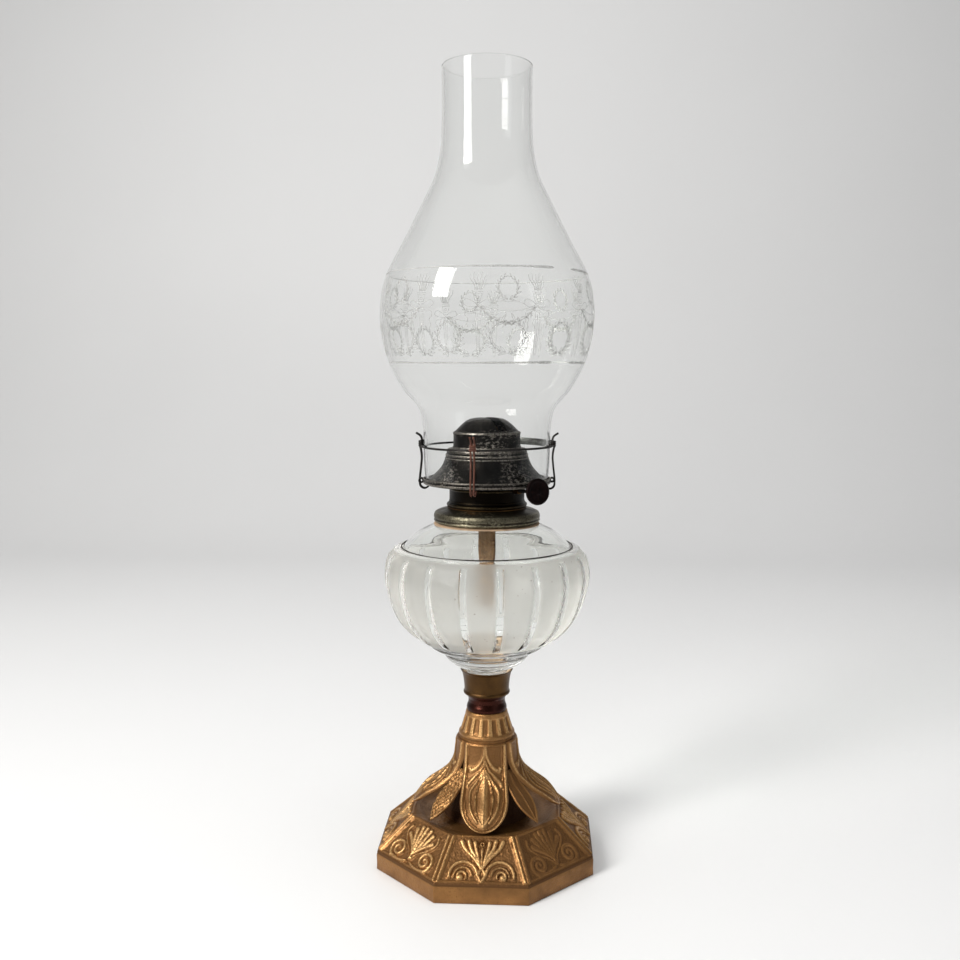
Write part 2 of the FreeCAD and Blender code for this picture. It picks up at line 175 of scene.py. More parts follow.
def boxMesh(low, high):
    x0, y0, z0 = low
    x1, y1, z1 = high
    verts = [(x0, y0, z0), (x1, y0, z0), (x1, y1, z0), (x0, y1, z0), (x0, y0, z1), (x1, y0, z1),
             (x1, y1, z1), (x0, y1, z1)]
    faces = [(0, 3, 2, 1), (4, 5, 6, 7), (0, 1, 5, 4), (1, 2, 6, 5), (2, 3, 7, 6), (3, 0, 4, 7)]
    return np.array(verts, float), faces


def turned(verts, azimuth):
    # moves what was made at the front to an azimuth
    angle = math.radians(azimuth)
    c = math.cos(angle)
    s = math.sin(angle)
    verts = np.array(verts, float)
    return np.stack([verts[:, 0] * c - verts[:, 1] * s, verts[:, 0] * s + verts[:, 1] * c, verts[:, 2]],
                    axis=1)


def waves(x, y, seed, count=6):
    # soft uneven bumps between -1 and 1, the same each run
    rng = np.random.default_rng(seed)
    total = np.zeros(np.broadcast(x, y).shape)
    for fx, fy, phase in zip(rng.uniform(-1, 1, count), rng.uniform(-1, 1, count),
                             rng.uniform(0, 6.28, count)):
        total += np.sin(fx * x + fy * y + phase)
    return total / count


def strokeField(x, y, strokes):
    # heights of rounded ridges drawn as (points, half width at start, at end, height)
    height = np.zeros(x.shape)
    for points, startWidth, endWidth, top in strokes:
        p = np.array(points, float)
        count = len(p) - 1
        for i in range(count):
            dx, dy = p[i + 1] - p[i]
            length2 = dx * dx + dy * dy + 1e-9
            t = np.clip(((x - p[i, 0]) * dx + (y - p[i, 1]) * dy) / length2, 0, 1)
            distance = np.hypot(x - p[i, 0] - t * dx, y - p[i, 1] - t * dy)
            share = (i + t) / count
            width = startWidth + (endWidth - startWidth) * share
            ridge = top * np.sqrt(np.clip(1 - (distance / width) ** 2, 0, 1))
            height = np.maximum(height, ridge)
    return height


def arcPoints(cx, cy, radius, start, end, count=12, endRadius=None):
    angles = np.radians(np.linspace(start, end, count))
    radii = np.linspace(radius, radius if endRadius is None else endRadius, count)
    return np.stack([cx + radii * np.cos(angles), cy + radii * np.sin(angles)], axis=1)


def mirrored(strokes):
    flipped = [(np.array(points, float) * (-1, 1), a, b, top) for points, a, b, top in strokes]
    return strokes + flipped


def makeMesh(name, verts, faces, sharpAngle=35.0, fields=None):
    mesh = bpy.data.meshes.new(name)
    mesh.from_pydata((np.array(verts, float) * metre).tolist(), [], faces)
    for fieldName, values in (fields or {}).items():
        layer = mesh.attributes.new(fieldName, "FLOAT", "POINT")
        layer.data.foreach_set("value", np.array(values, np.float32))
    work = bmesh.new()
    work.from_mesh(mesh)
    bmesh.ops.recalc_face_normals(work, faces=work.faces)
    work.to_mesh(mesh)
    work.free()
    mesh.shade_smooth()
    mesh.set_sharp_from_angle(angle=math.radians(sharpAngle))
    return mesh


def makeObject(name, mesh, material):
    piece = bpy.data.objects.new(name, mesh)
    bpy.context.scene.collection.objects.link(piece)
    if not mesh.materials:
        mesh.materials.append(material)
    return piece


def place(piece, body, slotName, *replacedNodes):
    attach(piece, body)
    if replacedNodes:
        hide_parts(*replacedNodes)
    return piece


def plainMesh(piece, name):
    # the piece with its modifiers carried out, as a new object with a plain mesh
    graph = bpy.context.evaluated_depsgraph_get()
    mesh = bpy.data.meshes.new_from_object(piece.evaluated_get(graph))
    piece.modifiers.clear()
    oldMesh = piece.data
    bpy.data.objects.remove(piece)
    if oldMesh.users == 0:
        bpy.data.batch_remove([oldMesh])
    result = bpy.data.objects.new(name, mesh)
    bpy.context.scene.collection.objects.link(result)
    return result


# ---- Geometry Nodes tools ----

def geometryTree(name, inputs):
    tree = bpy.data.node_groups.new(name, "GeometryNodeTree")
    tree.interface.new_socket(name="Geometry", in_out="INPUT", socket_type="NodeSocketGeometry")
    for socketName, kind in inputs:
        tree.interface.new_socket(name=socketName, in_out="INPUT", socket_type=kind)
    tree.interface.new_socket(name="Geometry", in_out="OUTPUT", socket_type="NodeSocketGeometry")
    return tree, tree.nodes.new("NodeGroupInput"), tree.nodes.new("NodeGroupOutput")


def addNode(tree, kind, inputs=(), **settings):
    node = tree.nodes.new(kind)
    for key, value in settings.items():
        setattr(node, key, value)
    for key, value in dict(inputs).items():
        if isinstance(value, bpy.types.NodeSocket):
            tree.links.new(value, node.inputs[key])
        else:
            node.inputs[key].default_value = value
    return node


def runTree(piece, tree, name, values):
    modifier = piece.modifiers.new(tree.name, "NODES")
    modifier.node_group = tree
    for item in tree.interface.items_tree:
        if item.item_type == "SOCKET" and item.in_out == "INPUT" and item.name in values:
            modifier[item.identifier] = values[item.name]
    return plainMesh(piece, name)


def roundTheAxisTree():
    # copies of what comes in, turned evenly round the lamp's axis
    tree, start, end = geometryTree("roundTheAxis",
                                    [("Count", "NodeSocketInt"), ("First Angle", "NodeSocketFloat"),
                                                     ("Material", "NodeSocketMaterial")])
    points = addNode(tree, "GeometryNodeMeshLine", {"Count": start.outputs["Count"], "Offset": (0, 0, 0)})
    index = addNode(tree, "GeometryNodeInputIndex")
    step = addNode(tree, "ShaderNodeMath", {0: 2 * math.pi, 1: start.outputs["Count"]}, operation="DIVIDE")
    angle = addNode(tree, "ShaderNodeMath", {0: index.outputs[0], 1: step.outputs[0],
                                             2: start.outputs["First Angle"]},
                    operation="MULTIPLY_ADD")
    turn = addNode(tree, "ShaderNodeCombineXYZ", {"Z": angle.outputs[0]})
    copies = addNode(tree, "GeometryNodeInstanceOnPoints",
                     {"Points": points.outputs[0], "Rotation": turn.outputs[0],
                                                            "Instance": start.outputs["Geometry"]})
    real = addNode(tree, "GeometryNodeRealizeInstances", {0: copies.outputs[0]})
    painted = addNode(tree, "GeometryNodeSetMaterial",
                      {0: real.outputs[0], "Material": start.outputs["Material"]})
    tree.links.new(painted.outputs[0], end.inputs[0])
    return tree


def wireTree():
    # a round wire along a path of edges, with its bends rounded
    tree, start, end = geometryTree("wireAlongPath",
                                    [("Wire Radius", "NodeSocketFloat"), ("Bend Radius", "NodeSocketFloat"),
                                                      ("Sides", "NodeSocketInt"),
                                     ("Material", "NodeSocketMaterial")])
    path = addNode(tree, "GeometryNodeMeshToCurve", {0: start.outputs["Geometry"]})
    bends = addNode(tree, "GeometryNodeFilletCurve",
                    {"Curve": path.outputs[0], "Radius": start.outputs["Bend Radius"],
                                                      "Count": 5, "Limit Radius": True}, mode="POLY")
    section = addNode(tree, "GeometryNodeCurvePrimitiveCircle", {"Resolution": start.outputs["Sides"],
                                                                 "Radius": start.outputs["Wire Radius"]})
    wire = addNode(tree, "GeometryNodeCurveToMesh",
                   {"Curve": bends.outputs[0], "Profile Curve": section.outputs[0],
                                                     "Fill Caps": True})
    smooth = addNode(tree, "GeometryNodeSetShadeSmooth", {0: wire.outputs[0]})
    real = addNode(tree, "GeometryNodeRealizeInstances", {0: smooth.outputs[0]})
    painted = addNode(tree, "GeometryNodeSetMaterial",
                      {0: real.outputs[0], "Material": start.outputs["Material"]})
    tree.links.new(painted.outputs[0], end.inputs[0])
    return tree


def leafTree():
    # thin flat outlines of leaves in pairs along a flat path; X is the width, Y the height
    tree, start, end = geometryTree("leavesAlongPath", [
        ("Spacing", "NodeSocketFloat"), ("Leaf Length", "NodeSocketFloat"),
        ("Leaf Width", "NodeSocketFloat"),
        ("Spread", "NodeSocketFloat"), ("Line Width", "NodeSocketFloat"), ("Line Depth", "NodeSocketFloat"),
        ("Seed", "NodeSocketInt"), ("Material", "NodeSocketMaterial")])
    path = addNode(tree, "GeometryNodeMeshToCurve", {0: start.outputs["Geometry"]})
    points = addNode(tree, "GeometryNodeResampleCurve",
                     {"Curve": path.outputs[0], "Length": start.outputs["Spacing"]},
                     mode="LENGTH")
    tangent = addNode(tree, "GeometryNodeInputTangent")
    aligned = addNode(tree, "FunctionNodeAlignRotationToVector", {"Vector": tangent.outputs[0]}, axis="X",
                      pivot_axis="Z")
    # one leaf: two bowed sides from its foot to its tip
    sides = []
    for sign in (1.0, -1.0):
        middle = addNode(tree, "ShaderNodeMath", {0: start.outputs["Leaf Width"], 1: sign * 0.5},
                         operation="MULTIPLY")
        half = addNode(tree, "ShaderNodeMath", {0: start.outputs["Leaf Length"], 1: 0.45},
                       operation="MULTIPLY")
        bow = addNode(tree, "ShaderNodeCombineXYZ", {"X": half.outputs[0], "Y": middle.outputs[0]})
        tip = addNode(tree, "ShaderNodeCombineXYZ", {"X": start.outputs["Leaf Length"]})
        side = addNode(tree, "GeometryNodeCurveQuadraticBezier", {"Resolution": 5, "Start": (0, 0, 0),
                                                                  "Middle": bow.outputs[0],
                                                                  "End": tip.outputs[0]})
        sides.append(side.outputs[0])
    leaf = addNode(tree, "GeometryNodeJoinGeometry")
    for side in sides:
        tree.links.new(side, leaf.inputs[0])
    layers = addNode(tree, "GeometryNodeJoinGeometry")
    for sign in (1.0, -1.0):
        jitter = addNode(tree, "FunctionNodeRandomValue",
                         {"Min": 0.8, "Max": 1.15, "Seed": start.outputs["Seed"]},
                         data_type="FLOAT")
        angle = addNode(tree, "ShaderNodeMath", {0: start.outputs["Spread"], 1: jitter.outputs[1]},
                        operation="MULTIPLY")
        signed = addNode(tree, "ShaderNodeMath", {0: angle.outputs[0], 1: sign}, operation="MULTIPLY")
        lean = addNode(tree, "ShaderNodeCombineXYZ", {"Z": signed.outputs[0]})
        asRotation = addNode(tree, "FunctionNodeEulerToRotation", {0: lean.outputs[0]})
        both = addNode(tree, "FunctionNodeRotateRotation",
                       {0: aligned.outputs[0], 1: asRotation.outputs[0]},
                       rotation_space="LOCAL")
        copies = addNode(tree, "GeometryNodeInstanceOnPoints",
                         {"Points": points.outputs[0], "Instance": leaf.outputs[0],
                                                                "Rotation": both.outputs[0],
                                                                "Scale": jitter.outputs[1]})
        tree.links.new(copies.outputs[0], layers.inputs[0])
    real = addNode(tree, "GeometryNodeRealizeInstances", {0: layers.outputs[0]})
    stems = addNode(tree, "GeometryNodeJoinGeometry")
    tree.links.new(real.outputs[0], stems.inputs[0])
    tree.links.new(points.outputs[0], stems.inputs[0])
    upright = addNode(tree, "GeometryNodeSetCurveNormal", {0: stems.outputs[0]})
    if hasattr(upright, "mode"):
        upright.mode = "Z_UP"
    section = addNode(tree, "GeometryNodeCurvePrimitiveQuadrilateral",
                      {"Width": start.outputs["Line Width"],
                                                                       "Height": start.outputs["Line Depth"]})
    lines = addNode(tree, "GeometryNodeCurveToMesh",
                    {"Curve": upright.outputs[0], "Profile Curve": section.outputs[0],
                                                      "Fill Caps": True})
    painted = addNode(tree, "GeometryNodeSetMaterial",
                      {0: lines.outputs[0], "Material": start.outputs["Material"]})
    tree.links.new(painted.outputs[0], end.inputs[0])
    return tree


roundTheAxis = roundTheAxisTree()
wireAlongPath = wireTree()
leavesAlongPath = leafTree()


def aroundTheAxis(mesh, name, count, firstAzimuth, material):
    piece = bpy.data.objects.new(name, mesh)
    bpy.context.scene.collection.objects.link(piece)
    return runTree(piece, roundTheAxis, name, {"Count": count, "First Angle": math.radians(firstAzimuth),
                                               "Material": material})


def pathObject(name, paths):
    # open paths as loose edges
    verts = []
    edges = []
    for path in paths:
        start = len(verts)
        verts += [tuple(np.array(p, float) * metre) for p in path]
        edges += [(i, i + 1) for i in range(start, len(verts) - 1)]
    mesh = bpy.data.meshes.new(name)
    mesh.from_pydata(verts, edges, [])
    piece = bpy.data.objects.new(name, mesh)
    bpy.context.scene.collection.objects.link(piece)
    return piece


def wirePiece(name, paths, radius, bend, material, sides=12):
    return runTree(pathObject(name, paths), wireAlongPath, name,
                   {"Wire Radius": radius * metre, "Bend Radius": bend * metre, "Sides": sides,
                    "Material": material})


# ---- shader groups ----

def shaderGroup(name, inputs, outputs):
    tree = bpy.data.node_groups.new(name, "ShaderNodeTree")
    for socketName, kind, value in inputs:
        socket = tree.interface.new_socket(name=socketName, in_out="INPUT", socket_type=kind)
        socket.default_value = value
    for socketName, kind in outputs:
        tree.interface.new_socket(name=socketName, in_out="OUTPUT", socket_type=kind)
    return tree, tree.nodes.new("NodeGroupInput"), tree.nodes.new("NodeGroupOutput")


def noise(tree, vector, scale, detail=4.0):
    return addNode(tree, "ShaderNodeTexNoise", {"Vector": vector, "Scale": scale, "Detail": detail,
                                                "Roughness": 0.55}).outputs["Fac"]


def steps(tree, value, low, high):
    # 0 below low, 1 above high, straight between
    return addNode(tree, "ShaderNodeMapRange", {"Value": value, "From Min": low,
                                                "From Max": high}).outputs[0]


def mixColor(tree, factor, first, second):
    node = addNode(tree, "ShaderNodeMix", data_type="RGBA")
    for index, value in ((0, factor), (6, first), (7, second)):
        if isinstance(value, bpy.types.NodeSocket):
            tree.links.new(value, node.inputs[index])
        else:
            node.inputs[index].default_value = value
    return node.outputs[2]


def maths(tree, operation, first, second=0.0, third=0.0):
    return addNode(tree, "ShaderNodeMath", {0: first, 1: second, 2: third}, operation=operation).outputs[0]


def agedShadedGroup():
    # patchy age with painted light: painted shade and dirt darken the hollows, a painted highlight and wear
    # lighten what stands out; dark patches and grainy height
    tree, start, end = shaderGroup("agedShadedSurface", [
        ("Base", "NodeSocketColor", (0.5, 0.5, 0.5, 1)), ("Dark", "NodeSocketColor", (0.1, 0.1, 0.1, 1)),
        ("Light", "NodeSocketColor", (0.8, 0.8, 0.8, 1)), ("Patch Scale", "NodeSocketFloat", 60.0),
        ("Grain Scale", "NodeSocketFloat", 900.0), ("Relief", "NodeSocketFloat", 0.5),
        ("Patchiness", "NodeSocketFloat", 0.5), ("Roughness", "NodeSocketFloat", 0.4)],
        [("Color", "NodeSocketColor"), ("Roughness", "NodeSocketFloat"), ("Height", "NodeSocketFloat")])
    place3d = addNode(tree, "ShaderNodeTexCoord").outputs["Object"]
    patch = noise(tree, place3d, start.outputs["Patch Scale"])
    grain = noise(tree, place3d, start.outputs["Grain Scale"], 3.0)
    darkPatch = maths(tree, "MULTIPLY", steps(tree, patch, 0.42, 0.72), start.outputs["Patchiness"])
    # painted shade, with dirt, where the shading value is low
    hollowShadeAndDirt = steps(tree, start.outputs["Relief"], 0.42, 0.0)
    darkness = maths(tree, "MAXIMUM", darkPatch, hollowShadeAndDirt)
    speck = maths(tree, "MULTIPLY", steps(tree, grain, 0.56, 0.74), 0.45)
    darkness = maths(tree, "MAXIMUM", darkness, speck)
    color = mixColor(tree, darkness, start.outputs["Base"], start.outputs["Dark"])
    # painted highlight, with wear, on raised parts where the shading value is high
    raised = maths(tree, "MULTIPLY", steps(tree, start.outputs["Relief"], 0.5, 1.0),
                   steps(tree, grain, 0.3, 0.55))
    color = mixColor(tree, raised, color, start.outputs["Light"])
    rough = maths(tree, "MULTIPLY_ADD", darkness, 0.28, start.outputs["Roughness"])
    rough = maths(tree, "MULTIPLY_ADD", grain, 0.12, rough)
    tree.links.new(color, end.inputs["Color"])
    tree.links.new(rough, end.inputs["Roughness"])
    tree.links.new(grain, end.inputs["Height"])
    return tree


def turningGroup():
    # fine rings left by spinning, by height on the lamp's axis
    tree, start, end = shaderGroup("turningLines", [("Lines", "NodeSocketFloat", 1500.0),
                                                    ("Unevenness", "NodeSocketFloat", 40.0)],
                                   [("Height", "NodeSocketFloat")])
    place3d = addNode(tree, "ShaderNodeTexCoord").outputs["Object"]
    parts = addNode(tree, "ShaderNodeSeparateXYZ", {0: place3d})
    column = addNode(tree, "ShaderNodeCombineXYZ", {"Z": maths(tree, "MULTIPLY", parts.outputs["Z"],
                                                               start.outputs["Lines"])})
    fine = noise(tree, column.outputs[0], 1.0, 2.0)
    broad = noise(tree, place3d, start.outputs["Unevenness"], 2.0)
    tree.links.new(maths(tree, "MULTIPLY", fine, broad), end.inputs["Height"])
    return tree


def streakGroup():
    # fine scuffs where soot is rubbed off
    tree, start, end = shaderGroup("rubbedStreaks",
                                   [("Fineness", "NodeSocketFloat", 520.0),
                                    ("Amount", "NodeSocketFloat", 0.5)],
                                   [("Mask", "NodeSocketFloat")])
    place3d = addNode(tree, "ShaderNodeTexCoord").outputs["Object"]
    parts = addNode(tree, "ShaderNodeSeparateXYZ", {0: place3d})
    low = maths(tree, "MULTIPLY", parts.outputs["Z"], 1.7)
    squeezed = addNode(tree, "ShaderNodeCombineXYZ",
                       {"X": parts.outputs["X"], "Y": parts.outputs["Y"], "Z": low})
    fine = steps(tree, noise(tree, squeezed.outputs[0], start.outputs["Fineness"], 8.0), 0.50, 0.72)
    patches = steps(tree, noise(tree, place3d, 48.0, 5.0), 0.45, 0.62)
    mask = maths(tree, "MULTIPLY", maths(tree, "MULTIPLY", fine, patches), start.outputs["Amount"])
    tree.links.new(mask, end.inputs["Mask"])
    return tree


def glassFilmGroup():
    # smears and dust on old glass: a share of haze, and the roughness it brings
    tree, start, end = shaderGroup("glassFilm", [("Scale", "NodeSocketFloat", 25.0),
                                                 ("Stretch", "NodeSocketFloat", 0.25),
                                                 ("Clear", "NodeSocketFloat", 0.0),
                                                 ("Hazy", "NodeSocketFloat", 0.06)],
                                   [("Roughness", "NodeSocketFloat"), ("Film", "NodeSocketFloat")])
    place3d = addNode(tree, "ShaderNodeTexCoord").outputs["Object"]
    parts = addNode(tree, "ShaderNodeSeparateXYZ", {0: place3d})
    squeezed = maths(tree, "MULTIPLY", parts.outputs["Z"], start.outputs["Stretch"])
    stretched = addNode(tree, "ShaderNodeCombineXYZ",
                        {"X": parts.outputs["X"], "Y": parts.outputs["Y"], "Z": squeezed})
    smear = steps(tree, noise(tree, stretched.outputs[0], start.outputs["Scale"]), 0.5, 0.78)
    rough = addNode(tree, "ShaderNodeMapRange", {"Value": smear, "To Min": start.outputs["Clear"],
                                                 "To Max": start.outputs["Hazy"]}).outputs[0]
    tree.links.new(rough, end.inputs["Roughness"])
    tree.links.new(smear, end.inputs["Film"])
    return tree


def weaveGroup():
    # plain weave by the piece's own UV map, in threads across and along
    tree, start, end = shaderGroup("plainWeave", [("Across", "NodeSocketFloat", 22.0),
                                                  ("Along", "NodeSocketFloat", 120.0)],
                                   [("Height", "NodeSocketFloat")])
    flat = addNode(tree, "ShaderNodeTexCoord").outputs["UV"]
    parts = addNode(tree, "ShaderNodeSeparateXYZ", {0: flat})
    u = maths(tree, "MULTIPLY", parts.outputs["X"], start.outputs["Across"])
    v = maths(tree, "MULTIPLY", parts.outputs["Y"], start.outputs["Along"])
    warp = maths(tree, "ABSOLUTE", maths(tree, "SINE", maths(tree, "MULTIPLY", u, math.pi)))
    weft = maths(tree, "ABSOLUTE", maths(tree, "SINE", maths(tree, "MULTIPLY", v, math.pi)))
    over = maths(tree, "MULTIPLY", maths(tree, "SINE", maths(tree, "MULTIPLY", u, math.pi)),
                 maths(tree, "SINE", maths(tree, "MULTIPLY", v, math.pi)))
    height = addNode(tree, "ShaderNodeMix", {0: steps(tree, over, -0.15, 0.15), 2: warp, 3: weft},
                     data_type="FLOAT")
    tree.links.new(height.outputs[0], end.inputs["Height"])
    return tree


agedShadedSurface = agedShadedGroup()
turningLines = turningGroup()
rubbedStreaks = streakGroup()
glassFilm = glassFilmGroup()
plainWeave = weaveGroup()


# ---- materials ----

def newMaterial(name, **fixed):
    material = bpy.data.materials.new(name)
    material.use_nodes = True
    shader = material.node_tree.nodes["Principled BSDF"]
    for key, value in fixed.items():
        shader.inputs[key.replace("_", " ")].default_value = value
    return material, material.node_tree, shader


def group(tree, groupTree, **values):
    node = addNode(tree, "ShaderNodeGroup", node_tree=groupTree)
    for key, value in values.items():
        socket = node.inputs[key.replace("_", " ")]
        if isinstance(value, bpy.types.NodeSocket):
            tree.links.new(value, socket)
        else:
            socket.default_value = value
    return node


def field(tree, name):
    return addNode(tree, "ShaderNodeAttribute", attribute_name=name).outputs["Fac"]


def bumped(tree, shader, height, distance):
    bump = addNode(tree, "ShaderNodeBump", {"Height": height, "Distance": distance, "Strength": 1.0})
    tree.links.new(bump.outputs[0], shader.inputs["Normal"])


def agedShadedMaterial(name, look, highlightShadeAndWear=0.5, turning=False):
    # a metal or paint with the aged surface and its painted shade and highlight; look is one of the
    # dictionaries below
    material, tree, shader = newMaterial(name, Metallic=look["metallic"])
    agedShaded = group(tree, agedShadedSurface, Base=look["base"], Dark=look["dark"], Light=look["light"],
                 Patch_Scale=look["patch"], Grain_Scale=look["grain"], Patchiness=look["patchiness"],
                 Roughness=look["roughness"])
    if isinstance(highlightShadeAndWear, str):
        tree.links.new(field(tree, highlightShadeAndWear), agedShaded.inputs["Relief"])
    else:
        agedShaded.inputs["Relief"].default_value = highlightShadeAndWear
    color = agedShaded.outputs["Color"]
    if look.get("rubbed"):
        streaks = group(tree, rubbedStreaks, Amount=look["rubbed"])
        color = mixColor(tree, streaks.outputs["Mask"], color, look["light"])
    tree.links.new(color, shader.inputs["Base Color"])
    tree.links.new(agedShaded.outputs["Roughness"], shader.inputs["Roughness"])
    height = agedShaded.outputs["Height"]
    if turning:
        lines = group(tree, turningLines)
        height = maths(tree, "ADD", height, maths(tree, "MULTIPLY", lines.outputs["Height"], 1.4))
    bumped(tree, shader, height, look["bump"])
    return material


# dark is the colour of patches, specks and the painted shade in hollows; light is the colour of rubbed
# streaks and of the painted highlight on raised parts
paintLooks = {
    "bronzePaint": {"metallic": 0.75, "base": (0.31, 0.148, 0.047, 1), "dark": (0.040, 0.015, 0.005, 1),
                    "light": (0.84, 0.52, 0.22, 1), "patch": 45.0, "grain": 900.0, "patchiness": 0.6,
                    "roughness": 0.30, "bump": 0.00028},
    "darkLacquer": {"metallic": 0.9, "base": (0.040, 0.010, 0.006, 1), "dark": (0.010, 0.003, 0.002, 1),
                    "light": (0.14, 0.04, 0.025, 1), "patch": 120.0, "grain": 1500.0, "patchiness": 0.6,
                    "roughness": 0.22, "bump": 0.00004},
    "agedBrass": {"metallic": 0.95, "base": (0.085, 0.043, 0.014, 1), "dark": (0.035, 0.018, 0.009, 1),
                  "light": (0.30, 0.19, 0.08, 1), "patch": 90.0, "grain": 1300.0, "patchiness": 0.55,
                  "roughness": 0.30, "bump": 0.00004},
    "collarBrass": {"metallic": 0.9, "base": (0.048, 0.038, 0.024, 1), "dark": (0.008, 0.006, 0.005, 1),
                    "light": (0.42, 0.39, 0.27, 1), "patch": 110.0, "grain": 1100.0, "patchiness": 0.75,
                    "roughness": 0.30, "bump": 0.00008, "rubbed": 0.8},
    "drumBrass": {"metallic": 0.95, "base": (0.006, 0.004, 0.002, 1), "dark": (0.001, 0.001, 0.001, 1),
                  "light": (0.11, 0.08, 0.04, 1), "patch": 80.0, "grain": 1200.0, "patchiness": 0.7,
                  "roughness": 0.32, "bump": 0.00005},
    "sootedBrass": {"metallic": 0.95, "base": (0.006, 0.005, 0.004, 1), "dark": (0.001, 0.001, 0.001, 1),
                    "light": (0.42, 0.38, 0.33, 1), "patch": 100.0, "grain": 1000.0, "patchiness": 0.75,
                    "roughness": 0.33, "bump": 0.00008, "rubbed": 0.9},
    "knobBrass": {"metallic": 0.9, "base": (0.006, 0.002, 0.002, 1), "dark": (0.002, 0.001, 0.001, 1),
                  "light": (0.05, 0.02, 0.012, 1), "patch": 200.0, "grain": 1400.0, "patchiness": 0.6,
                  "roughness": 0.42, "bump": 0.00006},
    "darkWire": {"metallic": 0.7, "base": (0.016, 0.014, 0.013, 1), "dark": (0.006, 0.005, 0.005, 1),
                 "light": (0.08, 0.06, 0.05, 1), "patch": 300.0, "grain": 2500.0, "patchiness": 0.5,
                 "roughness": 0.42, "bump": 0.00005},
    "rustWire": {"metallic": 0.25, "base": (0.115, 0.040, 0.022, 1), "dark": (0.030, 0.010, 0.008, 1),
                 "light": (0.26, 0.11, 0.06, 1), "patch": 300.0, "grain": 2500.0, "patchiness": 0.7,
                 "roughness": 0.62, "bump": 0.00012},
    "springStrip": {"metallic": 0.9, "base": (0.20, 0.20, 0.19, 1), "dark": (0.03, 0.028, 0.026, 1),
                    "light": (0.42, 0.42, 0.40, 1), "patch": 160.0, "grain": 1800.0, "patchiness": 0.7,
                    "roughness": 0.38, "bump": 0.00004},
    "plainSteel": {"metallic": 0.9, "base": (0.22, 0.21, 0.20, 1), "dark": (0.07, 0.05, 0.04, 1),
                   "light": (0.4, 0.4, 0.4, 1), "patch": 160.0, "grain": 1800.0, "patchiness": 0.6,
                   "roughness": 0.4, "bump": 0.00004},
    "oldPlaster": {"metallic": 0.0, "base": (0.44, 0.31, 0.20, 1), "dark": (0.16, 0.09, 0.05, 1),
                   "light": (0.66, 0.52, 0.38, 1), "patch": 130.0, "grain": 1500.0, "patchiness": 0.7,
                   "roughness": 0.7, "bump": 0.0002},
}
# looks whose painted shade and highlight follow the per-vertex shading value
shadedLooks = {"bronzePaint", "sootedBrass", "collarBrass", "drumBrass", "knobBrass"}
turnedLooks = {"agedBrass", "collarBrass", "darkLacquer", "sootedBrass"}
materials = {}
for lookName, look in paintLooks.items():
    materials[lookName] = agedShadedMaterial(lookName, look, "highlightShadeAndWear" if lookName in shadedLooks else 0.5,
                                       lookName in turnedLooks)


def glassMaterial(name, color, film, ior=1.45, shine=0.5, frost=None):
    material, tree, shader = newMaterial(name, Base_Color=color, Metallic=0.0, IOR=ior,
                                         Transmission_Weight=1.0,
                                         Specular_IOR_Level=shine)
    smear = group(tree, glassFilm, **film)
    rough = smear.outputs["Roughness"]
    if frost:
        mask = field(tree, "frost")
        rough = addNode(tree, "ShaderNodeMix", {0: mask, 2: rough, 3: frost["roughness"]},
                        data_type="FLOAT").outputs[0]
    tree.links.new(rough, shader.inputs["Roughness"])
    surface = shader.outputs[0]
    output = tree.nodes["Material Output"]
    if frost:
        place3d = addNode(tree, "ShaderNodeTexCoord").outputs["Object"]
        specks = steps(tree, noise(tree, place3d, 420.0, 1.0), 0.735, 0.76)
        patches = steps(tree, noise(tree, place3d, 28.0, 1.0), 0.5, 0.58)
        hazeColor = mixColor(tree, maths(tree, "MULTIPLY", specks, patches), frost["haze"], frost["specks"])
        haze = addNode(tree, "ShaderNodeBsdfTranslucent", {"Color": hazeColor})
        veil = maths(tree, "MULTIPLY", mask, frost["share"])
        both = addNode(tree, "ShaderNodeMixShader", {0: veil, 1: surface, 2: haze.outputs[0]})
        surface = both.outputs[0]
    # lamps reach what stands inside or behind the glass
    path = addNode(tree, "ShaderNodeLightPath")
    clear = addNode(tree, "ShaderNodeBsdfTransparent", {"Color": (0.93, 0.94, 0.93, 1)})
    seen = addNode(tree, "ShaderNodeMixShader", {0: path.outputs["Is Shadow Ray"], 1: surface,
                                                 2: clear.outputs[0]})
    tree.links.new(seen.outputs[0], output.inputs["Surface"])
    return material


materials["chimneyGlass"] = glassMaterial("chimneyGlass", (0.985, 0.99, 0.985, 1),
                                          {"Scale": 22.0, "Stretch": 0.2, "Clear": 0.0, "Hazy": 0.02},
                                          ior=1.30)
materials["fontGlass"] = glassMaterial("fontGlass", (0.965, 0.975, 0.96, 1),
                                       {"Scale": 40.0, "Stretch": 0.6, "Clear": 0.005, "Hazy": 0.08},
                                       ior=1.38, shine=0.4,
                                       frost={"roughness": 0.40, "haze": (0.83, 0.81, 0.76, 1),
                                              "share": 0.45,
                                              "specks": (0.20, 0.11, 0.06, 1)})


def etchedMaterial():
    material, tree, shader = newMaterial("etchedLine", Base_Color=(0.52, 0.53, 0.52, 1), Roughness=0.7,
                                         Alpha=0.42)
    uneven = steps(tree, noise(tree, addNode(tree, "ShaderNodeTexCoord").outputs["Object"], 900.0), 0.3,
                   0.7)
    color = mixColor(tree, uneven, (0.30, 0.30, 0.29, 1), (0.55, 0.55, 0.53, 1))
    tree.links.new(color, shader.inputs["Base Color"])
    return material


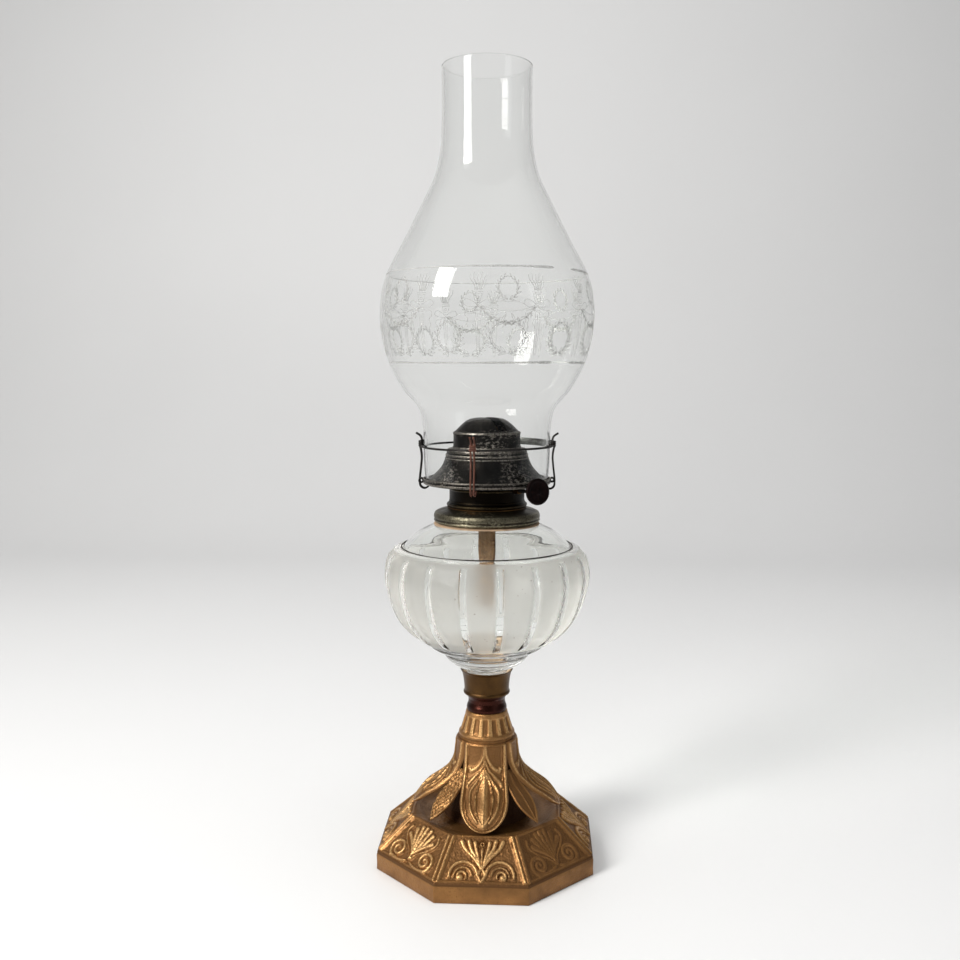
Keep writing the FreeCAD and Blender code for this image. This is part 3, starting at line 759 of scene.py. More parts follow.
def wickMaterial():
    material, tree, shader = newMaterial("wickCotton", Metallic=0.0, Sheen_Weight=0.0)
    agedShaded = group(tree, agedShadedSurface, Base=(0.17, 0.075, 0.018, 1), Dark=(0.02, 0.008, 0.004, 1),
                 Light=(0.62, 0.40, 0.17, 1),
                 Patch_Scale=260.0, Grain_Scale=1100.0, Patchiness=1.0, Roughness=0.6, Relief=0.6)
    weave = group(tree, plainWeave, Across=18.0, Along=110.0)
    tree.links.new(mixColor(tree, maths(tree, "MULTIPLY_ADD", weave.outputs[0], 0.6, 0.3),
                            (0.05, 0.02, 0.008, 1),
                            agedShaded.outputs["Color"]), shader.inputs["Base Color"])
    tree.links.new(agedShaded.outputs["Roughness"], shader.inputs["Roughness"])
    bumped(tree, shader, maths(tree, "MULTIPLY_ADD", agedShaded.outputs["Height"], 1.5, weave.outputs[0]), 0.0004)
    return material


# near-black, partly see-through colour for the dark lines along the font's creases
def darkCreaseMaterial():
    material, tree, shader = newMaterial("darkCreaseLine", Roughness=0.6)
    uneven = steps(tree, noise(tree, addNode(tree, "ShaderNodeTexCoord").outputs["Object"], 260.0), 0.35,
                   0.65)
    tree.links.new(mixColor(tree, uneven, (0.008, 0.005, 0.004, 1), (0.035, 0.024, 0.016, 1)),
                   shader.inputs["Base Color"])
    tree.links.new(addNode(tree, "ShaderNodeMapRange",
                           {"Value": uneven, "To Min": 1.0, "To Max": 0.7}).outputs[0],
                   shader.inputs["Alpha"])
    return material


materials["darkCreaseLine"] = darkCreaseMaterial()
materials["etchedLine"] = etchedMaterial()
materials["wickCotton"] = wickMaterial()
print("materials made:", len(materials))


# ---- foot ----

footCasting = {
    "apothem": 66.0, "plinthTop": 12.0, "panelStep": 1.0, "ledgeApothem": 44.3, "ledgeZ": 31.5, "wall": 3.0,
    "shelfZ": 28.5, "shelfThickness": 3.0, "shelfHole": 22.0, "armWidth": 12.0, "hubRadius": 14.0,
    "columns": 92, "rows": 62, "reliefHeight": 1.5, "wornPanel": 1, "wornShare": 0.4, "pebbles": 0.10,
}


def palmetteStrokes():
    half = []
    for tipX, tipY, bowX, width in ((4.3, 23.6, 2.0, 1.5), (7.9, 24.4, 3.2, 1.6), (12.0, 24.2, 5.0, 1.7)):
        path = smoothPath([(0.7, 8.6), (bowX, 14.6), (tipX * 0.84, 20.0), (tipX, tipY)], 6)
        half.append((path, 0.7, width, 1.0))
    half.append((arcPoints(10.6, 4.2, 8.2, 176, -4, 16), 1.15, 1.15, 0.9))
    half.append((arcPoints(10.8, 4.0, 5.2, 172, 4, 12), 0.85, 0.85, 0.7))
    half.append((arcPoints(11.4, 4.0, 2.6, 200, -40, 10), 0.8, 1.0, 0.9))
    half.append(([(12.2, 3.4), (12.21, 3.4)], 1.9, 1.9, 1.1))
    half.append(([(0.3, 0.9), (2.0, 4.6), (0.5, 8.6)], 1.2, 0.8, 0.85))
    strokes = mirrored(half)
    strokes.append(([(0, 8.0), (0, 19.5)], 0.6, 1.0, 0.95))
    strokes.append((arcPoints(0, 22.4, 1.0, 0, 360, 14), 0.55, 0.55, 1.0))
    strokes.append((arcPoints(0, 22.6, 2.3, 20, 340, 16), 0.35, 0.35, 0.7))
    return strokes


def shellStrokes():
    half = []
    half.append((arcPoints(12.2, 7.2, 6.2, -60, 520, 34, endRadius=0.9), 1.2, 0.8, 1.0))
    half.append((smoothPath([(2.0, 2.8), (5.4, 1.9), (9.6, 1.4), (15.6, 2.2)], 5), 0.7, 1.0, 0.85))
    for tipX, tipY, width in ((3.6, 24.2, 1.7), (7.2, 22.0, 1.8), (10.2, 17.8, 1.7)):
        half.append((smoothPath([(0.8, 8.0), (tipX * 0.55, 13.8), (tipX, tipY)], 6), 0.5, width, 1.0))
        half.append(([(tipX, tipY), (tipX + 0.01, tipY)], 1.6, 1.6, 1.05))
    half.append((smoothPath([(0.5, 4.0), (3.6, 8.8), (9.6, 13.2), (13.4, 18.8), (12.2, 22.6)], 6), 0.5,
                 0.9, 0.8))
    strokes = mirrored(half)
    strokes.append(([(0, 5.0), (0, 24.6)], 0.9, 1.6, 1.1))
    for number in range(7):
        strokes.append(([(0.0, 9.0 + 2.2 * number), (0.01, 9.0 + 2.2 * number)], 0.95, 0.95, 1.35))
    return strokes


def frameStrokes(halfLow, halfHigh, length):
    # raised lines just inside the sloping edges, and a lower one along the foot
    side = [(halfLow - 1.4, 0.4), (halfHigh - 1.4, length - 0.2)]
    inner = [(halfLow - 3.1, 1.6), (halfHigh - 2.9, length - 0.6)]
    return mirrored([(side, 1.15, 1.15, 0.75), (inner, 0.35, 0.35, 0.3)]) + [
        ([(-halfLow + 2.4, 1.1), (halfLow - 2.4, 1.1)], 0.5, 0.5, 0.35),
        ([(-halfHigh + 2.0, length - 1.0), (halfHigh - 2.0, length - 1.0)], 0.7, 0.7, 0.45)]


def makeFoot():
    c = footCasting
    tangent = math.tan(math.radians(22.5))
    slopeStart = np.array([c["apothem"] - c["panelStep"], c["plinthTop"]])
    slopeEnd = np.array([c["ledgeApothem"], c["ledgeZ"]])
    length = np.linalg.norm(slopeEnd - slopeStart)
    outwards = np.array([slopeEnd[1] - slopeStart[1], slopeStart[0] - slopeEnd[0]]) / length
    across = np.linspace(-1, 1, c["columns"] + 1)[:-1]
    sector = np.degrees(np.arctan(across * tangent))
    azimuths = np.concatenate([45.0 * k + sector for k in range(8)])
    toCorner = np.tile(1 / np.cos(np.radians(sector)), 8)
    inset = c["wall"] * 0.7
    under = c["shelfZ"] - c["shelfThickness"]
    slope = (slopeStart[0] - slopeEnd[0]) / (slopeEnd[1] - slopeStart[1])
    hollowHigh = slopeEnd[0] - inset + (slopeEnd[1] - inset - under) * slope
    inner = c["apothem"] - c["wall"]
    # rows as (kind, radius or apothem, z): the outside upwards, then the inside down
    low = [("eight", inner + 0.4, 0.0), ("eight", c["apothem"] - 0.5, 0.0), ("eight", c["apothem"], 0.5),
           ("eight", c["apothem"] - 0.15, 4.0), ("eight", c["apothem"] - 0.05, 8.0),
           ("eight", c["apothem"], 9.6),
           ("eight", c["apothem"] - 0.35, 10.4), ("eight", c["apothem"] - 0.3, 11.4),
           ("eight", c["apothem"] - 0.7, 11.9)]
    top = [("eight", slopeEnd[0] - 0.7, c["ledgeZ"] + 0.0), ("eight", 43.2, c["ledgeZ"] - 0.15),
           ("round", 42.4, 31.0),
           ("round", 41.2, 30.1), ("round", 39.2, 29.2), ("round", 37.2, 28.7), ("round", 35.6, 28.5),
           ("round", c["shelfHole"] + 0.5, 28.5), ("round", c["shelfHole"], 28.1),
           ("round", c["shelfHole"], 25.9),
           ("round", c["shelfHole"] + 0.5, under), ("eight", hollowHigh - 0.5, under),
           ("eight", hollowHigh, under - 0.4), ("eight", inner, c["plinthTop"] - inset),
           ("eight", inner, 0.4)]
    verts = []
    highlightShadeAndWear = []

    def addRow(kind, size, z):
        radii = size * toCorner if kind == "eight" else np.full(len(azimuths), size)
        verts.append(at(azimuths, radii, np.full(len(azimuths), z)))
        # painted shade: the groove under the plinth's top and the dish inside the ledge get darker values
        shade = 0.12 if 10.2 < z < 12.0 else 0.42 if size < 44 else 0.5
        highlightShadeAndWear.append(np.full(len(azimuths), shade))

    for row in low:
        addRow(*row)
    drawings = {0: palmetteStrokes(), 1: shellStrokes()}
    for t in np.linspace(0, 1, c["rows"]):
        apothem, z = slopeStart + (slopeEnd - slopeStart) * t
        rows = []
        for k in range(8):
            x = across * apothem * tangent
            y = np.full(len(x), t * length)
            halfLow = slopeStart[0] * tangent
            halfHigh = slopeEnd[0] * tangent
            share = c["wornShare"] if k == c["wornPanel"] else 1.0
            drawn = strokeField(x, y, drawings[k % 2]) * share
            rim = strokeField(x, y, frameStrokes(halfLow, halfHigh, length)) * (0.7 if share < 1 else 1.0)
            raised = np.maximum(drawn, rim)
            fade = np.clip((1 - np.abs(across)) / 0.03, 0, 1) * min(1.0, t / 0.02, (1 - t) / 0.02)
            pebbles = c["pebbles"] * waves(4.5 * x, 4.5 * y, 20 + k,
                                           14) * 3.0 * (1 - np.clip(raised, 0, 1) * 0.7)
            rows.append((np.clip(raised, 0, 1.4) * c["reliefHeight"] + pebbles) * fade)
        push = np.concatenate(rows)
        center = np.repeat(45.0 * np.arange(8), len(across))
        ring = at(azimuths, apothem * toCorner, np.full(len(azimuths), z))
        ring = ring + at(center, push * outwards[0], push * outwards[1])
        verts.append(ring)
        # painted highlight on the raised drawing, painted shade on the flat panel
        highlightShadeAndWear.append(0.22 + 0.65 * np.clip(push / c["reliefHeight"], -0.2, 1.2))
    for row in top:
        addRow(*row)
    count = len(azimuths)
    rings = [list(range(i * count, (i + 1) * count)) for i in range(len(verts))]
    shell = (np.vstack(verts), ringFaces(rings))
    arms = []
    for k in range(4):
        armVerts, armFaces = boxMesh((-c["armWidth"] / 2, -36.5, under + 0.02),
                                     (c["armWidth"] / 2, -8, c["shelfZ"] - 0.02))
        arms.append((turned(armVerts, 90.0 * k), armFaces))
    hub = latheMesh(softened([(3.2, under), (c["hubRadius"], under), (c["hubRadius"], c["shelfZ"]),
                              (3.2, c["shelfZ"])]), 48)
    allVerts, allFaces = joined([shell] + arms + [hub])
    # the arms and hub under the shelf get a darker value: painted shade
    heights = np.concatenate(highlightShadeAndWear + [np.full(len(allVerts) - len(shell[0]), 0.3)])
    mesh = makeMesh("footCasting", allVerts, allFaces, 50.0, {"highlightShadeAndWear": heights})
    piece = makeObject("footCasting", mesh, materials["bronzePaint"])
    return place(piece, "base", "bronze_paint", "octagonal_foot")


makeFoot()
print("foot made")


# ---- leaf stem ----

stemCasting = {
    "flutes": 16, "fluteDepth": 0.85, "fluteTop": 91.2, "fluteBottom": 81.2, "coneTop": (13.7, 90.0),
    "coneBottom": (16.4, 81.0), "columns": 288, "leafTop": 76.8,
    "leafProfile": [(18.7, 76.8), (19.3, 69.9), (20.5, 63.3), (23.8, 56.6), (31.0, 49.2), (40.2, 42.2),
                    (46.6, 33.6)],
    "leafHalfWidth": 14.7, "leafTopHalfWidth": 12.7, "leafBendZ": 47.2, "leafThickness": 2.6,
    "budProfile": [(20.6, 60.0), (25.6, 52.8), (34.6, 45.4), (46.0, 34.4)], "budHalfWidth": 6.6,
    "budTopHalfWidth": 4.5,
    "budWideZ": 46.0, "budLowZ": 34.45, "hatchedLeaf": 3, "leafRelief": 1.0,
}


def leafStrokes():
    # the drawing on a large leaf, in width and height as seen from the front
    c = stemCasting
    w = c["leafHalfWidth"] - 1.0
    bend = c["leafBendZ"]
    top = c["leafTop"]
    edge = [(c["leafTopHalfWidth"] - 1.0, top - 1.2), (c["leafTopHalfWidth"] - 0.6, 62.0), (w, bend)]
    edge += [tuple(p) for p in arcPoints(0, bend, w, 0, -90, 12)[1:]]
    inner = [(x * 0.87, z + (1.7 if z < bend else -0.6)) for x, z in edge]
    half = [(edge, 0.95, 1.0, 0.95), (inner, 0.32, 0.32, 0.5)]
    half.append((smoothPath([(0.2, 60.5), (3.4, 54.5), (5.3, 47.6), (3.8, 41.2), (0.1, 36.4)], 6), 0.45,
                 0.45, 0.95))
    half.append((smoothPath([(0.4, 61.5), (5.2, 55.2), (8.6, 50.8), (8.2, 44.4), (3.8, 38.4)], 6), 0.6,
                 0.8, 0.85))
    half.append((smoothPath([(0.5, 74.6), (1.5, 68.6), (4.6, 63.4), (8.8, 60.6)], 6), 0.6, 1.1, 0.95))
    half.append((smoothPath([(0.3, 67.0), (2.0, 62.4), (5.6, 58.6), (10.0, 54.4)], 6), 0.5, 0.9, 0.85))
    half.append(([(9.3, 62.0), (9.31, 62.0)], 1.15, 1.15, 1.15))
    half.append(([(10.4, 53.4), (10.41, 53.4)], 0.8, 0.8, 0.95))
    strokes = mirrored(half)
    strokes.append((smoothPath([(0, 58.0), (0, 47.5), (0, 38.0)], 4), 2.6, 3.4, 0.7))
    strokes.append(([(0, top - 2.2), (0, 62.0)], 1.0, 0.35, 0.6))
    strokes.append(([(0, 58.0), (0, 37.4)], 0.4, 0.4, 1.15))
    strokes.append(([(1 - w, top - 0.9), (w - 1, top - 0.9)], 0.7, 0.7, 0.6))
    return strokes


def leafSheet(profile, widthAt, drawing, thickness, columns, rows, hatch=False):
    # a bent leaf at the front: its drawn face, its plain back and the edge between them
    line = smoothPath(profile, 24)
    steps1d = np.concatenate([[0], np.cumsum(np.linalg.norm(np.diff(line, axis=0), axis=1))])
    share = 1 - (1 - np.linspace(0, 1, rows)) ** 1.6
    radius = np.interp(share * steps1d[-1], steps1d, line[:, 0])
    height = np.interp(share * steps1d[-1], steps1d, line[:, 1])
    slope = np.gradient(np.stack([radius, height], axis=1), axis=0)
    slope /= np.linalg.norm(slope, axis=1)[:, None]
    width = np.array([max(widthAt(z), 0.02) for z in height])
    q = np.sin(np.linspace(-math.pi / 2, math.pi / 2, columns)) * 0.35 + np.linspace(-1, 1, columns) * 0.65
    x = q[None, :] * width[:, None]
    z = np.repeat(height[:, None], columns, axis=1)
    r = np.repeat(radius[:, None], columns, axis=1)
    drop = r - np.sqrt(np.maximum(r * r - x * x, 1.0))
    drawn = strokeField(x, z, drawing)
    if hatch:
        drawn = np.maximum(drawn, 0.9 * np.maximum(np.cos(2.3 * (x + z)), np.cos(2.3 * (x - z))).clip(0,
                                                                                                      1) ** 2)
    fade = np.clip((1 - np.abs(q))[None, :] / 0.04, 0, 1) * np.clip((1 - share)[:, None] / 0.02, 0, 1)
    push = drawn * stemCasting["leafRelief"] * fade - 0.3
    outR = slope[:, 1] * -1.0
    outZ = slope[:, 0]
    faceR = r - drop + push * outR[:, None]
    faceZ = z + push * outZ[:, None]
    curl = thickness * (0.35 + 0.65 * (1 - np.abs(q[None, :]) ** 3)) * np.clip((1 - share)[:, None] / 0.12,
                                                                               0.35, 1)
    backR = r - drop - curl * outR[:, None] - 0.3
    backZ = z - curl * outZ[:, None]
    front = np.stack([x, -faceR, faceZ], axis=-1).reshape(-1, 3)
    back = np.stack([x, -backR, backZ], axis=-1).reshape(-1, 3)
    faces = []
    total = rows * columns
    for i in range(rows - 1):
        for j in range(columns - 1):
            a = i * columns + j
            faces.append((a, a + 1, a + columns + 1, a + columns))
            b = total + a
            faces.append((b, b + columns, b + columns + 1, b + 1))
    rim = [j for j in range(columns)] + [i * columns + columns - 1 for i in range(1, rows)]
    rim += [(rows - 1) * columns + j for j in range(columns - 2, -1,
                                                    -1)] + [i * columns for i in range(rows - 2, 0, -1)]
    for a, b in zip(rim, rim[1:] + rim[:1]):
        faces.append((b, a, total + a, total + b))
    # painted highlight on the raised drawing; painted shade on the flat face and on the leaf's back
    highlightShadeAndWear = np.concatenate([(0.25 + 0.6 * np.clip(drawn * fade, 0, 1.2)).ravel(), np.full(total, 0.3)])
    return np.vstack([front, back]), faces, highlightShadeAndWear


def largeLeafWidth(z):
    c = stemCasting
    if z >= c["leafBendZ"]:
        share = min(1.0, (z - c["leafBendZ"]) / (c["leafTop"] - c["leafBendZ"]))
        return c["leafHalfWidth"] + (c["leafTopHalfWidth"] - c["leafHalfWidth"]) * share ** 0.8
    down = (c["leafBendZ"] - z) / (c["leafBendZ"] - c["leafProfile"][-1][1] + 0.05)
    return c["leafHalfWidth"] * math.sqrt(max(0.0, 1 - down * down))


def smallLeafWidth(z):
    c = stemCasting
    if z >= c["budWideZ"]:
        share = (z - c["budWideZ"]) / (60.0 - c["budWideZ"])
        return c["budHalfWidth"] + (c["budTopHalfWidth"] - c["budHalfWidth"]) * share
    down = (c["budWideZ"] - z) / (c["budWideZ"] - c["budLowZ"] + 0.1)
    return c["budHalfWidth"] * max(0.0, 1 - down ** 2.0)


def makeStem():
    c = stemCasting
    (topRadius, topZ), (lowRadius, lowZ) = c["coneTop"], c["coneBottom"]
    neck = [(12.2, 93.7), (12.7, 93.5), (13.0, 92.8), (13.0, 92.3), (13.3, 91.4)]
    cone = [(topRadius + (lowRadius - topRadius) * t, topZ - (topZ - lowZ) * t) for t in np.linspace(-0.1,
                                                                                                     1, 14)]
    ring = [(16.8, 80.7), (17.3, 80.2), (17.5, 79.4), (17.3, 78.6), (16.9, 78.1), (16.9, 77.4),
            (17.1, 76.0)]
    skirt = smoothPath([(17.2, 70.0), (18.6, 60.0), (21.4, 47.0), (27.0, 28.5)], 6)
    inside = smoothPath([(24.0, 28.5), (18.4, 47.0), (15.6, 60.0), (14.2, 70.0), (10.3, 88.7)], 5)
    outline = np.vstack([neck, cone, ring, skirt, inside, [(3.2, 88.7), (3.2, 93.7)]])

    def flute(index, radii, z, azimuths):
        if not c["fluteBottom"] < z < c["fluteTop"] or index > len(neck) + len(cone):
            return radii
        wave = np.cos(np.radians(azimuths) * c["flutes"])
        channel = np.clip((wave + 0.45) / 0.8, 0, 1)
        ends = min(1.0, (z - c["fluteBottom"]) / 0.8, (c["fluteTop"] - z) / 1.4)
        return radii - c["fluteDepth"] * channel * ends

    verts, faces = latheMesh(outline, c["columns"], flute)
    radiusNow = np.hypot(verts[:, 0], verts[:, 1])
    coneRadius = topRadius + (lowRadius - topRadius) * (topZ - verts[:, 2]) / (topZ - lowZ)
    inCone = (verts[:, 2] > c["fluteBottom"]) & (verts[:, 2] < c["fluteTop"]) & (radiusNow > 12.8)
    # painted shade in the flute channels, lighter on their ridges
    highlightShadeAndWear = np.where(inCone, np.clip(0.75 - 0.6 * (coneRadius - radiusNow), 0.1, 0.8), 0.55)
    # painted shade: the skirt darkens towards its foot, under the leaves
    highlightShadeAndWear = np.where(verts[:, 2] < 70, np.clip((verts[:, 2] - 44) / 60, 0.02, 0.38), highlightShadeAndWear)
    parts = [(verts, faces)]
    fields = [highlightShadeAndWear]
    drawing = leafStrokes()
    for k in range(4):
        leafVerts, leafFaces, leafRelief = leafSheet(c["leafProfile"], largeLeafWidth, drawing,
                                                     c["leafThickness"], 57, 92)
        parts.append((turned(leafVerts, 90.0 * k), leafFaces))
        fields.append(leafRelief)
    edge = [(max(smallLeafWidth(z) - 0.75, 0.02), z) for z in np.linspace(59.5, c["budLowZ"] + 0.7, 14)]
    for k in range(4):
        strokes = mirrored([(edge, 0.6, 0.6, 0.5)])
        if k != c["hatchedLeaf"]:
            strokes.append(([(0, 58), (0, 36)], 0.7, 0.4, 0.4))
        leafVerts, leafFaces, leafRelief = leafSheet(c["budProfile"], smallLeafWidth, strokes, 2.2, 25, 46,
                                                     k == c["hatchedLeaf"])
        parts.append((turned(leafVerts, 45.0 + 90.0 * k), leafFaces))
        fields.append(leafRelief)
    allVerts, allFaces = joined(parts)
    mesh = makeMesh("leafStemCasting", allVerts, allFaces, 50.0, {"highlightShadeAndWear": np.concatenate(fields)})
    piece = makeObject("leafStemCasting", mesh, materials["bronzePaint"])
    return place(piece, "base", "bronze_paint", "leaf_stem")


makeStem()
print("leaf stem made")


# ---- turned pieces between the stem and the glass ----

turnedPieces = {
    "spacerRing": {"node": "spacer_ring", "slot": "dark_casting", "look": "darkLacquer", "outline": [
        (3.2, 93.7), (12.1, 93.7), (12.45, 94.4), (12.5, 95.4), (12.3, 96.5), (11.9, 97.5), (11.4, 99.0),
        (11.4, 101.2),
        (12.0, 102.5), (12.4, 103.2), (12.4, 104.0), (3.2, 104.0)]},
    "connectorCup": {"node": "connector_cup", "slot": "aged_brass", "look": "agedBrass", "outline": [
        (3.0, 104.0), (13.6, 104.0), (14.35, 104.6), (14.5, 105.2), (14.35, 105.9), (13.9, 106.5),
        (13.9, 108.2),
        (14.1, 110.6), (14.4, 113.4), (14.9, 116.2), (15.5, 118.2), (16.4, 119.6), (16.2, 120.0),
        (15.7, 119.7),
        (14.9, 118.3), (14.2, 116.2), (13.5, 112.0), (13.1, 107.4), (3.0, 107.4)]},
}


def makeTurnedPieces():
    for name, item in turnedPieces.items():
        verts, faces = latheMesh(softened(item["outline"], 0.35, 4), 128)
        mesh = makeMesh(name, verts, faces, 40.0)
        piece = makeObject(name, mesh, materials[item["look"]])
        place(piece, "base", item["slot"], item["node"])


makeTurnedPieces()


# ---- font ----

fontShape = {
    "ribs": 18, "firstRib": 10.0, "ribWidth": 3.3, "ribHeight": 0.95, "ribLow": 140.6, "ribHigh": 194.6,
    "foot": [(0, 109.3), (11.2, 109.3), (11.8, 109.9), (12.5, 117.6), (14.0, 119.7), (17.0, 121.5),
             (19.2, 122.9),
             (21.2, 124.2), (23.2, 125.8), (25.0, 127.6), (25.9, 128.9), (26.1, 129.6), (25.7, 130.3),
             (26.2, 131.0),
             (27.6, 131.6), (30.6, 132.9), (33.4, 134.4), (34.7, 135.3), (34.6, 136.1)],
    "steps": [(35.6, 136.6), (37.2, 137.5)],
    "body": [(40.6, 139.5), (48.6, 146.2), (55.0, 154.2), (59.9, 166.2), (62.3, 179.6), (60.2, 191.0),
             (57.4, 195.4)],
    "shoulder": [(55.6, 196.6), (54.0, 197.0), (53.0, 196.9), (52.4, 196.4), (51.8, 196.6)],
    "dome": [(50.6, 198.0), (43.0, 205.2), (31.0, 211.0), (22.6, 213.6)],
    "neck": [(21.2, 214.4), (21.0, 215.4), (21.0, 219.0), (20.5, 219.5), (18.0, 219.5), (17.5, 219.0)],
    "inside": [(17.5, 212.9), (19.0, 211.9), (30.0, 208.9), (42.0, 202.8), (51.2, 194.4), (57.2, 187.0),
               (58.6, 178.6), (56.0, 166.6),
               (51.4, 156.0), (38.0, 143.6), (16.0, 135.0), (0, 133.4)],
}


def makeFont():
    c = fontShape
    body = smoothPath(c["body"], 9)
    outline = [tuple(p) for p in c["foot"]] + c["steps"] + [tuple(p) for p in body] + c["shoulder"]
    outline += [tuple(p) for p in smoothPath(c["dome"], 6)] + c["neck"]
    outline += [tuple(p) for p in smoothPath(c["inside"], 6)]
    outline = np.array(outline)
    outside = len(c["foot"]) + len(c["steps"]) + len(body)
    sector = 360.0 / c["ribs"]
    # places across one sector: near the rib in millimetres, between ribs in shares of the gap
    ribPlaces = np.array([-2.3, -1.95, -1.65, -1.3, -0.85, -0.4, 0.0, 0.4, 0.85, 1.3, 1.65, 1.95, 2.3])
    gapShares = np.linspace(0, 1, 9)[1:-1]
    verts = []
    frost = []
    rings = []
    for index, (radius, z) in enumerate(outline):
        if radius < 0.001:
            rings.append([len(verts)])
            verts.append((0, 0, z))
            frost.append(0.0)
            continue
        scale = max(radius, 20.0)
        near = np.degrees(ribPlaces / scale)
        gap = near[-1] + gapShares * (sector - 2 * near[-1])
        local = np.concatenate([near, gap])
        flank = np.concatenate([np.clip((2.1 - np.abs(ribPlaces)) / 0.5, 0, 1), np.zeros(len(gap))])
        crown = np.concatenate([1 - 0.25 * (ribPlaces / 2.3) ** 2, np.ones(len(gap))])
        inBody = index < outside and z >= c["body"][0][1] - 0.1
        ends = 0.0
        if inBody:
            ends = min(1.0, max(0.0, (z - c["ribLow"]) / 2.0), max(0.0, (c["ribHigh"] - z) / 3.0))
        radii = radius + c["ribHeight"] * ends * flank * crown
        belly = 0.35 * ends * np.concatenate([np.zeros(len(near)), np.sin(np.pi * gapShares)])
        azimuths = np.concatenate([c["firstRib"] + sector * k + local for k in range(c["ribs"])])
        rings.append(list(range(len(verts), len(verts) + len(azimuths))))
        verts.extend(at(azimuths, np.tile(radii + belly, c["ribs"]), z))
        frosted = 1.0 if inBody and z > c["body"][0][1] + 0.4 else 0.0
        frost.extend(np.tile(frosted * np.where(flank > 0.3, 1 - ends, 1.0), c["ribs"]))
    mesh = makeMesh("fontGlass", np.array(verts), ringFaces(rings, closed=False), 50.0, {"frost": frost})
    piece = makeObject("fontGlass", mesh, materials["fontGlass"])
    return place(piece, "base", "font_glass", "font")


darkCreaseLines = {"crease": (52.3, 197.25, 0.45), "waist": (25.9, 130.35, 0.26), "edge": (34.8, 135.9, 0.15)}


def makeDarkCreaseLines():
    # dark rings laid in the font's creases, thicker in places
    parts = []
    for number, (radius, z, thick) in enumerate(darkCreaseLines.values()):
        corners = np.linspace(0, 2 * math.pi, 9)[:-1]
        outline = [(radius + thick * math.cos(a), z + thick * math.sin(a)) for a in corners]
        verts, faces = latheMesh(outline, 240)
        azimuth = np.arctan2(verts[:, 0], -verts[:, 1])
        swell = 0.85 + 0.3 * waves(9 * azimuth, 0 * azimuth, 40 + number, 8) * 2
        distance = np.hypot(verts[:, 0], verts[:, 1])
        distance = radius + (distance - radius) * np.clip(swell, 0.25, 1.1)
        verts = np.column_stack([distance * np.sin(azimuth), -distance * np.cos(azimuth),
                                 z + (verts[:, 2] - z) * np.clip(swell, 0.25, 1.1)])
        parts.append((verts, faces))
    verts, faces = joined(parts)
    piece = makeObject("fontDarkCreaseLines", makeMesh("fontDarkCreaseLines", verts, faces), materials["darkCreaseLine"])
    place(piece, "base", "font_glass")


makeFont()
makeDarkCreaseLines()
print("font made")


# ---- collar and burner sheet metal ----

